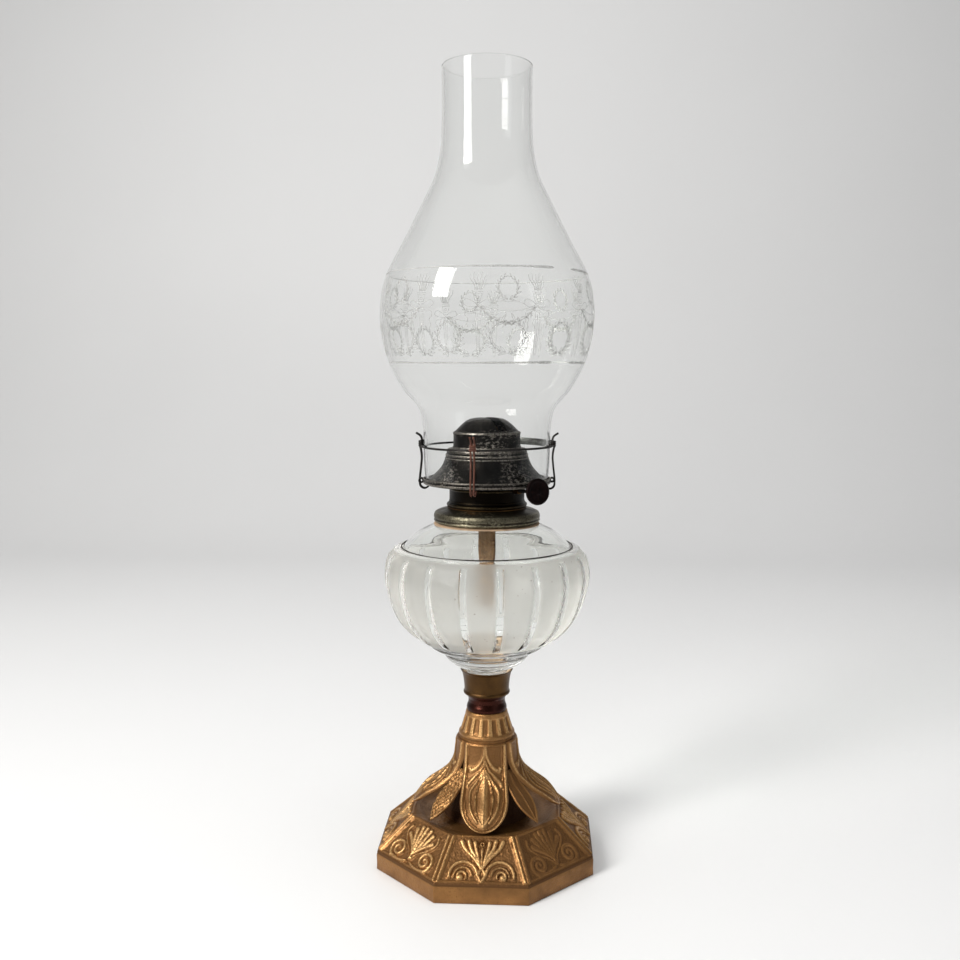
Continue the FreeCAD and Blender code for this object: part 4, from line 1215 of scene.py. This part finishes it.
sheetPieces = {
    "collarPlaster": {"node": "collar_plaster", "body": "base", "slot": "plaster", "look": "oldPlaster",
                      "wobble": 0.25,
                      "outline": [(21.3, 214.5), (31.0, 211.3), (32.5, 210.8), (32.3, 211.35),
                                  (31.2, 211.6),
                                  (29.8, 212.2), (31.5, 213.95), (31.5, 215.75), (30.9, 217.7),
                                  (23.9, 219.9), (21.2, 219.9)]},
    "collarBrass": {"node": "font_collar", "body": "base", "slot": "dark_brass", "look": "collarBrass",
                    "wobble": 0.10,
                    "outline": [(16.0, 211.5), (16.8, 211.5), (16.8, 220.0), (24.0, 220.0), (31.0, 217.8),
                                (31.6, 215.8),
                                (31.6, 213.9), (29.9, 212.3), (30.5, 211.7), (31.6, 212.4), (32.5, 213.5),
                                (32.1, 214.5),
                                (32.5, 215.4), (32.4, 216.8), (31.7, 218.3), (29.6, 219.3), (26.8, 220.1),
                                (24.3, 220.75),
                                (22.0, 221.0), (16.0, 221.0)]},
    "burnerDrum": {"node": "burner_body", "body": "burner", "slot": "dark_brass", "look": "drumBrass",
                   "wobble": 0.12,
                   "outline": [(10.4, 221.8), (23.9, 221.8), (24.5, 222.4), (24.55, 223.2), (24.0, 223.9),
                               (23.3, 224.3),
                               (23.2, 225.2), (22.9, 225.9), (22.9, 231.8), (23.2, 232.2), (23.2, 232.9),
                               (22.9, 233.3),
                               (22.9, 235.4), (22.3, 235.4), (22.3, 224.2), (22.0, 223.3), (10.4, 223.3)]},
    "galleryPlate": {"node": "gallery", "body": "burner", "slot": "sooted_brass", "look": "sootedBrass",
                     "wobble": 0.10,
                     "outline": [(22.3, 235.5), (30.0, 235.5), (30.8, 235.9), (34.6, 235.9), (35.4, 235.5),
                                 (38.0, 235.5),
                                 (38.8, 236.0), (39.05, 236.9), (38.8, 237.5), (39.0, 238.3),
                                 (39.0, 238.9), (38.7, 239.25),
                                 (38.4, 238.9), (38.35, 237.2), (37.9, 236.3), (30.6, 236.4),
                                 (22.3, 236.2)]},
    "deflectorBell": {"node": "deflector_bell", "body": "deflector", "slot": "sooted_brass",
                      "look": "sootedBrass",
                      "wobble": 0.22, "outline": [
                          (34.6, 236.6), (35.2, 236.6), (35.25, 237.6), (34.9, 238.6), (34.1, 239.3),
                          (33.0, 240.4), (31.2, 242.1),
                          (29.4, 244.0), (27.7, 246.1), (26.5, 248.4), (25.6, 250.6), (25.6, 251.6),
                          (24.9, 252.0), (25.1, 252.6),
                          (25.1, 253.6), (24.4, 254.1), (24.5, 255.0), (24.3, 256.2), (23.6, 257.0),
                          (21.4, 257.5), (20.9, 257.5),
                          (20.9, 256.9), (23.4, 256.2), (23.6, 252.6), (24.8, 250.6), (26.0, 247.6),
                          (28.8, 243.8), (32.0, 240.4),
                          (34.2, 238.3)]},
    "deflectorDome": {"node": "deflector_dome", "body": "deflector", "slot": "sooted_brass",
                      "look": "sootedBrass",
                      "wobble": 0.25, "outline": [
                          (19.9, 256.9), (20.8, 256.9), (20.85, 258.0), (20.4, 258.6), (20.3, 265.6),
                          (20.6, 266.4), (20.3, 267.2),
                          (19.2, 267.7), (18.3, 268.6), (16.8, 270.1), (15.0, 271.8), (12.8, 273.7),
                          (10.2, 275.1), (6.5, 275.8),
                          (2.5, 276.1), (0, 276.15), (0, 275.65), (2.5, 275.6), (6.4, 275.3), (9.9, 274.6),
                          (12.4, 273.2),
                          (14.6, 271.3), (16.4, 269.5), (17.7, 267.9), (18.4, 266.6), (19.0, 265.3),
                          (19.7, 264.6)]},
}
sheetSegments = 144
slotCut = {"width": 6.0, "low": 266.0, "high": 280.0, "reach": 18.6, "azimuth": 33.0}


def dented(verts, amount, seed):
    # old sheet metal is never quite round
    azimuth = np.arctan2(verts[:, 0], -verts[:, 1])
    radius = np.hypot(verts[:, 0], verts[:, 1])
    soft = 0.6 * np.sin(3 * azimuth + seed) + 0.4 * np.sin(7 * azimuth + 0.21 * verts[:, 2] + 2 * seed)
    dings = np.sin(13 * azimuth + 0.9 * verts[:, 2]) * np.sin(5 * azimuth - 0.6 * verts[:, 2] + seed)
    push = amount * (0.6 * soft + 0.4 * dings) * np.clip(radius / 12.0, 0, 1)
    scale = 1 + push / np.maximum(radius, 1.0)
    return verts * np.stack([scale, scale, np.ones(len(scale))], axis=1)


def edgeRelief(outline, segments):
    # corners that stand out of the outline get wear and a painted highlight; hollows get dirt and painted
    # shade
    p = np.array(outline)
    before = p - np.roll(p, 1, 0)
    after = np.roll(p, -1, 0) - p
    turn = before[:, 0] * after[:, 1] - before[:, 1] * after[:, 0]
    turn /= np.linalg.norm(before, axis=1) * np.linalg.norm(after, axis=1) + 1e-6
    value = np.clip(0.5 + 1.2 * np.convolve(turn, [0.25, 0.5, 0.25], "same"), 0.12, 1.0)
    perVertex = []
    for (radius, _), level in zip(outline, value):
        perVertex += [level] * (1 if radius < 0.001 else segments)
    return np.array(perVertex)


def makeSheetPieces():
    for number, (name, item) in enumerate(sheetPieces.items()):
        outline = softened(item["outline"], 0.22, 3)
        verts, faces = latheMesh(outline, sheetSegments)
        fields = {"highlightShadeAndWear": edgeRelief(outline, sheetSegments)}
        verts = dented(verts, item["wobble"], number)
        mesh = makeMesh(name, verts, faces, 40.0, fields)
        piece = makeObject(name, mesh, materials[item["look"]])
        if name == "deflectorDome":
            piece = cutSlot(piece)
        place(piece, item["body"], item["slot"], item["node"])


def cutSlot(piece):
    c = slotCut
    verts, faces = boxMesh((-c["reach"], -c["width"] / 2, c["low"]),
                           (c["reach"], c["width"] / 2, c["high"]))
    cutterMesh = makeMesh("slotCutter", turned(verts, c["azimuth"] - 90.0), faces)
    cutter = bpy.data.objects.new("slotCutter", cutterMesh)
    bpy.context.scene.collection.objects.link(cutter)
    cut = piece.modifiers.new("slot", "BOOLEAN")
    cut.operation = "DIFFERENCE"
    cut.solver = "EXACT"
    cut.object = cutter
    result = plainMesh(piece, piece.name)
    result.name = "deflectorDome"
    bpy.data.objects.remove(cutter)
    return result


makeSheetPieces()
print("collar, burner and deflector made")


# ---- chimney ----

chimneyShape = {
    "profile": [(37.75, 236.5), (38.4, 256.0), (39.0, 272.0), (41.2, 281.3), (50.2, 292.3), (59.5, 310.2),
                (64.05, 334.0),
                (61.2, 357.3), (49.4, 380.8), (37.5, 404.2), (30.8, 418.5), (27.6, 433.1), (26.6, 450.0),
                (26.55, 481.0)],
    "wall": 1.7, "segments": 160, "rimBead": 0.25,
}


def chimneyLine():
    line = smoothPath(chimneyShape["profile"], 9)
    half = chimneyShape["wall"] / 2
    line[0, 1] += half
    line[-1, 1] -= half
    line[-1, 0] += chimneyShape["rimBead"]
    line[-2, 0] += chimneyShape["rimBead"] * 0.6
    return line


def makeChimney():
    verts, faces = latheMesh(walled(chimneyLine(), chimneyShape["wall"]), chimneyShape["segments"])
    mesh = makeMesh("chimneyGlass", verts, faces, 60.0)
    piece = makeObject("chimneyGlass", mesh, materials["chimneyGlass"])
    return place(piece, "chimney", "chimney_glass", "chimney")


makeChimney()
print("chimney made")


# ---- etching on the chimney ----

etching = {
    "lineWidth": 0.26, "lineDepth": 0.09, "sink": 0.02, "reach": 62.0,
    "bandHigh": 360.6, "bandLow": 308.5, "bandWidth": 1.5, "gapStart": 41.0, "gapEnd": 54.0,
    "firstTorch": 28.3, "torches": 12, "groups": 6, "firstGroup": 13.3, "firstGap": 43.3,
    "leafLength": 3.6, "leafSpacing": 2.7, "spread": 0.55,
}


def ontoBulb(flat):
    # flat points (width, height, depth) wrapped onto the chimney's outside
    line = chimneyLine()
    angle = flat[:, 0] / etching["reach"]
    radius = np.interp(flat[:, 1], line[:, 1], line[:, 0]) + flat[:, 2] - etching["sink"]
    return np.stack([radius * np.sin(angle), -radius * np.cos(angle), flat[:, 1]], axis=1)


def ribbon(path, halfWidths, depth):
    # a thin flat strip along a flat path, closed all round
    p = np.array(path, float)
    widths = np.broadcast_to(halfWidths, len(p))
    along = np.gradient(p, axis=0)
    along /= np.linalg.norm(along, axis=1)[:, None] + 1e-9
    side = np.stack([-along[:, 1], along[:, 0]], axis=1) * widths[:, None]
    verts = []
    for edge, level in ((side, depth), (-side, depth), (-side, -depth * 0.2), (side, -depth * 0.2)):
        verts.append(np.column_stack([p + edge, np.full(len(p), level)]))
    verts = np.stack(verts, axis=1).reshape(-1, 3)
    faces = [(3, 2, 1, 0)]
    for i in range(len(p) - 1):
        for j in range(4):
            k = (j + 1) % 4
            faces.append((4 * i + j, 4 * i + k, 4 * i + 4 + k, 4 * i + 4 + j))
    last = 4 * (len(p) - 1)
    faces.append((last, last + 1, last + 2, last + 3))
    return verts, faces


def torchLines():
    # flame, cup, ribbon bow and tapering staff, centred on x = 0
    lines = []
    for x0, lean, top in ((-3.2, -2.4, 356.0), (-1.6, -1.0, 357.2), (0.0, 0.4, 356.4), (1.6, 1.6, 357.2),
                          (3.2, 2.8, 355.6)):
        lines.append(smoothPath([(x0 * 0.5, 347.4), (x0 * 0.7 + 0.5, 350.2),
                                 (x0 + lean * 0.2 - 0.4, 353.2), (x0 + lean * 0.5, top)], 4))
        lines.append(smoothPath([(x0 * 0.5 + 0.7, 347.6), (x0 + 0.9, 350.6),
                                 (x0 + lean * 0.35 + 0.3, 353.0)], 3))
    for z, half in ((346.6, 2.9), (345.6, 2.6), (341.8, 1.6), (340.6, 1.4)):
        lines.append(np.array([(-half, z), (0, z - 0.15), (half, z)]))
    lines.append(np.array([(-2.3, 345.4), (-1.9, 343.4), (-1.5, 341.8)]))
    lines.append(np.array([(2.3, 345.4), (1.9, 343.4), (1.5, 341.8)]))
    lines.append(arcPoints(0, 343.5, 0.8, 0, 360, 9))
    lines.append(np.array([(-1.3, 335.6), (-1.1, 325.0), (-0.6, 313.4), (0, 312.2), (0.6, 313.4),
                           (1.1, 325.0), (1.3, 335.6)]))
    lines.append(np.array([(0, 334.5), (0, 325.0), (0, 316.0)]))
    lines.append(np.array([(-1.5, 336.4), (1.5, 336.4)]))
    # the bow's two loops and two tails
    for sign in (1, -1):
        loop = smoothPath([(0, 339.0), (3.0, 341.6), (6.4, 342.6), (7.8, 340.6), (6.2, 339.0),
                           (3.0, 338.4), (0, 338.6)], 4)
        tail = smoothPath([(0.4, 338.4), (3.4, 337.0), (6.2, 336.6), (6.9, 334.2), (5.2, 332.0),
                           (5.9, 329.4), (5.2, 327.4)], 4)
        lines += [loop * (sign, 1), tail * (sign, 1)]
    return lines


def flatLines(lines):
    c = etching
    return joined([ribbon(line, c["lineWidth"] / 2, c["lineDepth"]) for line in lines])


def leafySprays(name, paths, length, spread=None, spacing=None):
    c = etching
    flat = runTree(pathObject(name, [[(x, y, 0) for x, y in path] for path in paths]), leavesAlongPath,
                   name, {
        "Spacing": (spacing or c["leafSpacing"]) * metre, "Leaf Length": length * metre,
        "Leaf Width": length * 0.45 * metre, "Spread": spread or c["spread"],
                       "Line Width": c["lineWidth"] * metre,
        "Line Depth": c["lineDepth"] * metre, "Seed": 4, "Material": materials["etchedLine"]})
    verts = np.array([v.co for v in flat.data.vertices]) / metre
    faces = [tuple(f.vertices) for f in flat.data.polygons]
    oldMesh = flat.data
    bpy.data.objects.remove(flat)
    bpy.data.meshes.remove(oldMesh)
    return verts, faces


def wreathPaths(x, low, width, height):
    # two branches from the foot of the wreath up each side, open at the top
    cy = low + height / 2
    right = [(x + width / 2 * math.sin(a), cy - height / 2 * math.cos(a)) for a in np.linspace(0.1, 2.75,
                                                                                               16)]
    left = [(2 * x - px, py) for px, py in right]
    return [right, left]


def makeEtching():
    c = etching
    material = materials["etchedLine"]
    verts, faces = flatLines(torchLines())
    torches = aroundTheAxis(makeMesh("torch", ontoBulb(verts), faces, 180.0), "etchedTorches", c["torches"],
                            c["firstTorch"], material)
    # a swag between each pair of torches, with a large wreath under it and a small one over it
    swagEnd = math.radians(15) * c["reach"] - 1.5
    swag = smoothPath([(-swagEnd, 338.6), (-11.0, 333.6), (-4.0, 330.4), (0, 329.9), (4.0, 330.4),
                       (11.0, 333.6),
                       (swagEnd, 338.6)], 6)
    ribbonLines = [smoothPath([(-swagEnd, 339.4), (-8.0, 337.0), (0, 336.2), (8.0, 337.0),
                               (swagEnd, 339.4)], 6),
                   smoothPath([(-swagEnd, 338.0), (-8.0, 332.0), (0, 329.0), (8.0, 332.0),
                               (swagEnd, 338.0)], 6),
                   smoothPath([(-5.0, 314.6), (-2.0, 312.9), (0, 313.6), (2.0, 312.9), (5.0, 314.6)], 4),
                   smoothPath([(-9.0, 340.0), (-4.0, 341.6), (0, 341.0), (4.0, 341.6), (9.0, 340.0)], 4)]
    halves = [swag[:len(swag) // 2 + 1], swag[::-1][:len(swag) // 2 + 1]]
    parts = [flatLines(ribbonLines), leafySprays("swag", halves, 2.9, 0.5, 3.2),
             leafySprays("largeWreath", wreathPaths(0, 314.0, 20.0, 17.0), c["leafLength"] + 0.9),
             leafySprays("smallWreath", wreathPaths(0, 342.4, 11.0, 12.5), 2.6, 0.5, 2.4)]
    verts, faces = joined(parts)
    swags = aroundTheAxis(makeMesh("swagGroup", ontoBulb(verts), faces, 180.0), "etchedSwags", c["groups"],
                          c["firstGroup"], material)
    verts, faces = joined([leafySprays("gapWreath", wreathPaths(0, 314.0, 13.5, 16.5), c["leafLength"]),
                           flatLines([smoothPath([(-3.6, 313.0), (0, 314.4), (3.6, 313.0)], 4)])])
    gaps = aroundTheAxis(makeMesh("gapWreath", ontoBulb(verts), faces, 180.0), "etchedGapWreaths",
                         c["groups"],
                         c["firstGap"], material)
    # the two brushed lines swell towards their ends, and stop short of each other
    around = np.linspace(c["gapEnd"], c["gapStart"] + 360, 200)
    share = (around - around[0]) / (around[-1] - around[0])
    taper = np.clip(np.minimum(share, 1 - share) / 0.006, 0.12, 1)
    width = c["bandWidth"] / 2 * (0.30 + 0.7 * np.abs(2 * share - 1) ** 3) * taper
    width *= 1 + 0.15 * np.sin(around * 0.21)
    flatX = np.radians(around) * c["reach"]
    bands = []
    for z in (c["bandHigh"], c["bandLow"]):
        bands.append(ribbon(np.column_stack([flatX, z + 0.12 * np.sin(around * 0.05)]), width,
                            c["lineDepth"]))
    verts, faces = joined(bands)
    lines = makeObject("etchedBandLines", makeMesh("etchedBandLines", ontoBulb(verts), faces, 180.0),
                       material)
    for piece in (torches, swags, gaps, lines):
        place(piece, "chimney", "chimney_glass")


makeEtching()
print("etching made")


# ---- wire chimney holder ----

holder = {
    "wire": 0.65, "ringRadius": 39.75, "ringZ": 258.5, "ringStart": -205.0, "ringEnd": 98.0, "doubled": 1.0,
    "legs": {"front": (-9.0, "rustWire", "rust_wire"), "right": (92.0, "darkWire", "dark_wire"),
             "back": (172.0, "darkWire", "dark_wire"), "left": (-92.0, "darkWire", "dark_wire")},
    "legSide": [(35.5, 234.9), (36.2, 233.2), (38.5, 232.2), (40.8, 233.6), (41.3, 237.2), (40.4, 246.0),
                (40.0, 252.0),
                (40.6, 256.6), (41.1, 258.4), (40.5, 260.2), (39.9, 262.0), (40.6, 264.2), (43.4, 266.2)],
    "coilRadius": 1.25, "coilTurns": 3, "lugStart": 1.9, "lugEnd": 4.9, "lugReach": 39.9, "lugZ": 237.4,
    "tieWidth": 1.9, "tieReach": 40.3, "tieZ": 259.2, "tieLow": -0.9, "tieHigh": 2.6,
    "strip": {"start": 99.5, "end": 152.5, "inner": 39.0, "outer": 39.6,
                                                   "low": 257.0, "high": 261.5},
}


def onSide(azimuth, side, shift=0.0):
    # (radius, z) points standing at an azimuth, moved sideways by shift
    points = np.array([(shift, -radius, z) for radius, z in side])
    return turned(points, azimuth)


def makeHolder():
    c = holder
    around = np.linspace(c["ringStart"], c["ringEnd"], 110)
    wave = 0.12 * np.sin(np.radians(around) * 3) + 0.25 * np.sin(np.radians(around) + 0.6)
    ringPath = at(around, np.full(len(around), c["ringRadius"]), c["ringZ"] + wave)
    ring = wirePiece("holderRing", [ringPath], c["wire"], 0.0, materials["darkWire"])
    place(ring, "burner", "dark_wire", "holder_ring")
    for name, (azimuth, look, slotName) in c["legs"].items():
        paths = []
        side = smoothPath(c["legSide"], 5)
        low = onSide(azimuth, side, -c["doubled"])
        high = onSide(azimuth, side, c["doubled"])
        paths.append(np.vstack([low[::-1], high]))
        turns = np.linspace(0, 2 * math.pi * c["coilTurns"], 12 * c["coilTurns"] + 1)
        lug = np.column_stack([np.linspace(c["lugStart"], c["lugEnd"], len(turns)),
                               -(c["lugReach"] + c["coilRadius"] * np.cos(turns)),
                               c["lugZ"] + c["coilRadius"] * np.sin(turns)])
        if name != "front":
            paths.append(turned(lug, azimuth))
        # a twist of wire that ties the leg to the ring
        tie = np.column_stack([c["tieWidth"] * np.cos(turns) * np.linspace(1, 0.7, len(turns)),
                               -(c["tieReach"] + c["coilRadius"] * np.sin(turns)),
                               c["tieZ"] + np.linspace(c["tieLow"], c["tieHigh"], len(turns))])
        paths.append(turned(tie, azimuth))
        leg = wirePiece("holderLeg" + name.capitalize(), paths, c["wire"] * 0.88, 0.0, materials[look], 10)
        place(leg, "burner", slotName, "holder_leg_" + name)
    makeStrip()


def makeStrip():
    c = holder["strip"]
    around = np.linspace(c["start"], c["end"], 40)
    section = softened([(c["inner"], c["low"]), (c["outer"], c["low"]), (c["outer"], c["high"]),
                        (c["inner"], c["high"])], 0.15, 2)
    verts = []
    for azimuth in around:
        verts.extend(at(azimuth, section[:, 0], section[:, 1]))
    count = len(section)
    faces = [tuple(range(count))[::-1], tuple(range(len(verts) - count, len(verts)))]
    for i in range(len(around) - 1):
        for j in range(count):
            k = (j + 1) % count
            faces.append((i * count + j, i * count + k, (i + 1) * count + k, (i + 1) * count + j))
    rivets = []
    for azimuth, z in ((103.0, 258.3), (103.0, 260.3), (149.0, 259.3)):
        dome = [(0, 0.0), (0.9, 0.0), (0.8, 0.35), (0.45, 0.6), (0, 0.68)]
        head, headFaces = latheMesh(dome, 16)
        stood = np.stack([head[:, 0], -(c["outer"] - 0.05 + head[:, 2]), z + head[:, 1]], axis=1)
        rivets.append((turned(stood, azimuth), headFaces))
    allVerts, allFaces = joined([(np.array(verts), faces)] + rivets)
    piece = makeObject("holderStrip", makeMesh("holderStrip", allVerts, allFaces, 40.0),
                       materials["springStrip"])
    place(piece, "burner", "spring_strip", "holder_strip")


makeHolder()
print("wire holder made")


# ---- thumb knob ----

knob = {"reach": 47.0, "offset": 6.5, "z": 231.0, "tilt": 4.5, "radius": 7.55, "thickness": 2.5,
        "teeth": 44,
        "toothHeight": 0.16, "azimuth": 33.0}


def ontoSpindle(verts, along):
    # from knob axes (Z along the spindle) to the lamp's axes
    c = knob
    tilt = math.radians(c["tilt"])
    u = at(c["azimuth"], 1.0, 0.0)
    v = at(c["azimuth"] + 90.0, 1.0, 0.0)
    up = np.array([0, 0, 1.0])
    line = u * math.cos(tilt) + up * math.sin(tilt)
    top = np.cross(line, v)
    middle = v * c["offset"] + up * c["z"] + line * along
    verts = np.array(verts, float)
    return middle + verts[:, :1] * v + verts[:, 1:2] * top + verts[:, 2:] * line


def makeKnob():
    c = knob
    half = c["thickness"] / 2
    outline = [(0, half + 0.1), (1.3, half + 0.15), (1.9, half - 0.25), (4.2, half - 0.45),
               (5.6, half - 0.35), (6.1, half - 0.02),
               (6.7, half), (c["radius"], half - 0.35), (c["radius"], -half + 0.35), (6.7, -half),
               (2.6, -half + 0.3),
               (2.4, -half - 0.3), (2.4, -half - 2.4), (1.9, -half - 2.7), (0, -half - 2.7)]
    verts, faces = latheMesh(softened(outline, 0.3, 3), 132)
    angle = np.arctan2(verts[:, 1], verts[:, 0])
    radius = np.hypot(verts[:, 0], verts[:, 1])
    petals = 0.06 * np.cos(8 * angle) * np.clip((radius - 1.8) / 1.5, 0, 1) * np.clip((5.9 - radius) / 1.2,
                                                                                      0, 1)
    verts[:, 2] += np.where(verts[:, 2] > 0, petals, 0)
    toothLow = (-0.3, -c["radius"] - c["toothHeight"], -half + 0.45)
    toothVerts, toothFaces = boxMesh(toothLow, (0.3, -c["radius"] + 0.4, half - 0.45))
    toothVerts[:, 0] *= np.where(toothVerts[:, 1] < -c["radius"], 0.45, 1.0)
    tooth = makeMesh("knobTooth", toothVerts, toothFaces)
    teeth = aroundTheAxis(tooth, "knobTeeth", c["teeth"], 0.0, materials["knobBrass"])
    teethVerts = np.array([v.co for v in teeth.data.vertices]) / metre
    teethFaces = [tuple(f.vertices) for f in teeth.data.polygons]
    # painted highlight on the raised petals and the milled teeth
    highlightShadeAndWear = np.concatenate([np.clip(0.5 + petals, 0.2, 0.9), np.full(len(teethVerts), 0.7)])
    allVerts, allFaces = joined([(verts, faces), (teethVerts, teethFaces)])
    bpy.data.objects.remove(teeth)
    mesh = makeMesh("thumbKnob", ontoSpindle(allVerts, c["reach"]), allFaces, 40.0, {"highlightShadeAndWear": highlightShadeAndWear})
    piece = makeObject("thumbKnob", mesh, materials["knobBrass"])
    place(piece, "knob", "dark_brass", "thumb_knob")


makeKnob()
print("knob made")


# ---- wick ----

wickShape = {"halfWidth": 9.3, "halfThickness": 1.05, "low": 157.2, "high": 271.2, "azimuth": 33.0,
             "rows": 150, "columns": 16}


def makeWick():
    c = wickShape
    heights = np.linspace(c["low"], c["high"], c["rows"])
    across = np.linspace(-1, 1, c["columns"])
    loop = [(x, 1.0) for x in across] + [(x, -1.0) for x in across[::-1]]
    verts = []
    for z in heights:
        below = np.clip((209.0 - z) / 20.0, 0, 1)
        pinch = 1 - 0.04 * below * (1 + math.sin(z * 0.31))
        for x, side in loop:
            edge = 1 - 0.35 * abs(x) ** 6
            fray = 0.12 * below * math.sin(z * 2.1 + x * 3) * abs(x) ** 4
            verts.append((c["halfWidth"] * pinch * x + fray, side * c["halfThickness"] * edge, z))
    count = len(loop)
    faces = [tuple(range(count)), tuple(range(len(verts) - count, len(verts)))[::-1]]
    for i in range(len(heights) - 1):
        for j in range(count):
            k = (j + 1) % count
            faces.append((i * count + j, (i + 1) * count + j, (i + 1) * count + k, i * count + k))
    mesh = makeMesh("wickRibbon", turned(verts, c["azimuth"] - 90.0), faces, 50.0)
    uv = mesh.uv_layers.new(name="UVMap")
    for loopItem in mesh.loops:
        row, column = divmod(loopItem.vertex_index, count)
        x = loop[column][0]
        uv.data[loopItem.index].uv = ((x + 1) / 2, row / (c["rows"] - 1))
    piece = makeObject("wickRibbon", mesh, materials["wickCotton"])
    place(piece, "wick", "wick_cotton", "wick")


makeWick()
print("wick made")


# ---- finishes of the CAD nodes that stay ----

keptNodes = {"tie_rod": "plainSteel", "tie_washer": "plainSteel", "tie_nut": "plainSteel",
             "cup_plaster": "oldPlaster",
             "burner_ferrule": "agedBrass", "air_screen": "agedBrass", "wick_tube": "agedBrass",
             "spur_housing": "agedBrass",
             "vent_tube": "agedBrass", "spindle_sleeve": "agedBrass", "wick_spindle": "darkWire",
             "spur_wheels": "agedBrass"}
for nodeName, lookName in keptNodes.items():
    node = frame["nodes"][nodeName]
    node.data.materials.clear()
    node.data.materials.append(materials[lookName])
print("kept nodes finished:", len(keptNodes))


# ---- stage, light and camera ----

stage = {"floorHalf": 3.0, "floorFront": 0.72, "wallY": 1.6, "wallHeight": 3.0, "curve": 0.6}


def makeStage():
    c = stage
    rows = [(-c["floorFront"], 0.0), (c["wallY"] - c["curve"], 0.0)]
    for angle in np.linspace(0, math.pi / 2, 14)[1:]:
        rows.append((c["wallY"] - c["curve"] + c["curve"] * math.sin(angle),
                     c["curve"] * (1 - math.cos(angle))))
    rows.append((c["wallY"], c["wallHeight"]))
    verts = []
    for y, z in rows:
        verts += [(-c["floorHalf"], y, z), (c["floorHalf"], y, z)]
    faces = [(2 * i, 2 * i + 1, 2 * i + 3, 2 * i + 2) for i in range(len(rows) - 1)]
    mesh = bpy.data.meshes.new("paleFloor")
    mesh.from_pydata(verts, [], faces)
    mesh.shade_smooth()
    material, tree, shader = newMaterial("paleFloor", Roughness=0.55)
    soft = noise(tree, addNode(tree, "ShaderNodeTexCoord").outputs["Object"], 3.0, 2.0)
    tree.links.new(mixColor(tree, soft, (0.74, 0.74, 0.74, 1), (0.77, 0.77, 0.77, 1)),
                   shader.inputs["Base Color"])
    mesh.materials.append(material)
    floor = bpy.data.objects.new("paleFloor", mesh)
    bpy.context.scene.collection.objects.link(floor)


worldLight = {"color": (0.80, 0.81, 0.82, 1), "strength": 0.20}
lamps = {
    "window": {"place": (-1.15, -1.05, 1.15), "size": (0.55, 0.9), "power": 40.0,
               "color": (1.0, 0.985, 0.96), "seen": True},
    "overhead": {"place": (0.1, -0.1, 1.8), "size": (1.6, 1.6), "power": 18.0, "color": (1.0, 1.0, 1.0),
                 "seen": False},
    "fill": {"place": (1.4, -0.9, 0.6), "size": (0.5, 1.0), "power": 2.5, "color": (0.97, 0.98, 1.0),
             "seen": True},
}


def makeLamps():
    for name, item in lamps.items():
        light = bpy.data.lights.new(name, "AREA")
        light.shape = "RECTANGLE"
        light.size, light.size_y = item["size"]
        light.energy = item["power"]
        light.color = item["color"]
        lamp = bpy.data.objects.new(name, light)
        lamp.location = item["place"]
        aim = np.array([0, 0, 0.24]) - np.array(item["place"])
        lamp.rotation_euler = Vector(aim).to_track_quat("-Z", "Y").to_euler()
        lamp.visible_glossy = item["seen"]
        lamp.visible_transmission = item["seen"]
        bpy.context.scene.collection.objects.link(lamp)
    world = bpy.data.worlds.new("studio")
    world.use_nodes = True
    background = world.node_tree.nodes["Background"]
    background.inputs["Color"].default_value = worldLight["color"]
    background.inputs["Strength"].default_value = worldLight["strength"]
    bpy.context.scene.world = world


view = {"distance": 0.626, "height": 0.306, "azimuth": 2.8, "aside": 0.384, "pitch": 6.25, "lens": 38.66}


def makeCamera():
    c = view
    data = bpy.data.cameras.new("camera")
    data.lens = c["lens"]
    data.sensor_width = 36.0
    data.clip_start = 0.01
    camera = bpy.data.objects.new("camera", data)
    angle = math.radians(c["azimuth"])
    camera.location = (c["distance"] * math.sin(angle), -c["distance"] * math.cos(angle), c["height"])
    camera.rotation_euler = (math.radians(90 - c["pitch"]), 0, math.radians(c["azimuth"] + c["aside"]))
    bpy.context.scene.collection.objects.link(camera)
    bpy.context.scene.camera = camera


makeStage()
makeLamps()
makeCamera()
bpy.context.scene.view_settings.view_transform = "Standard"
print("stage, lamps and camera made")
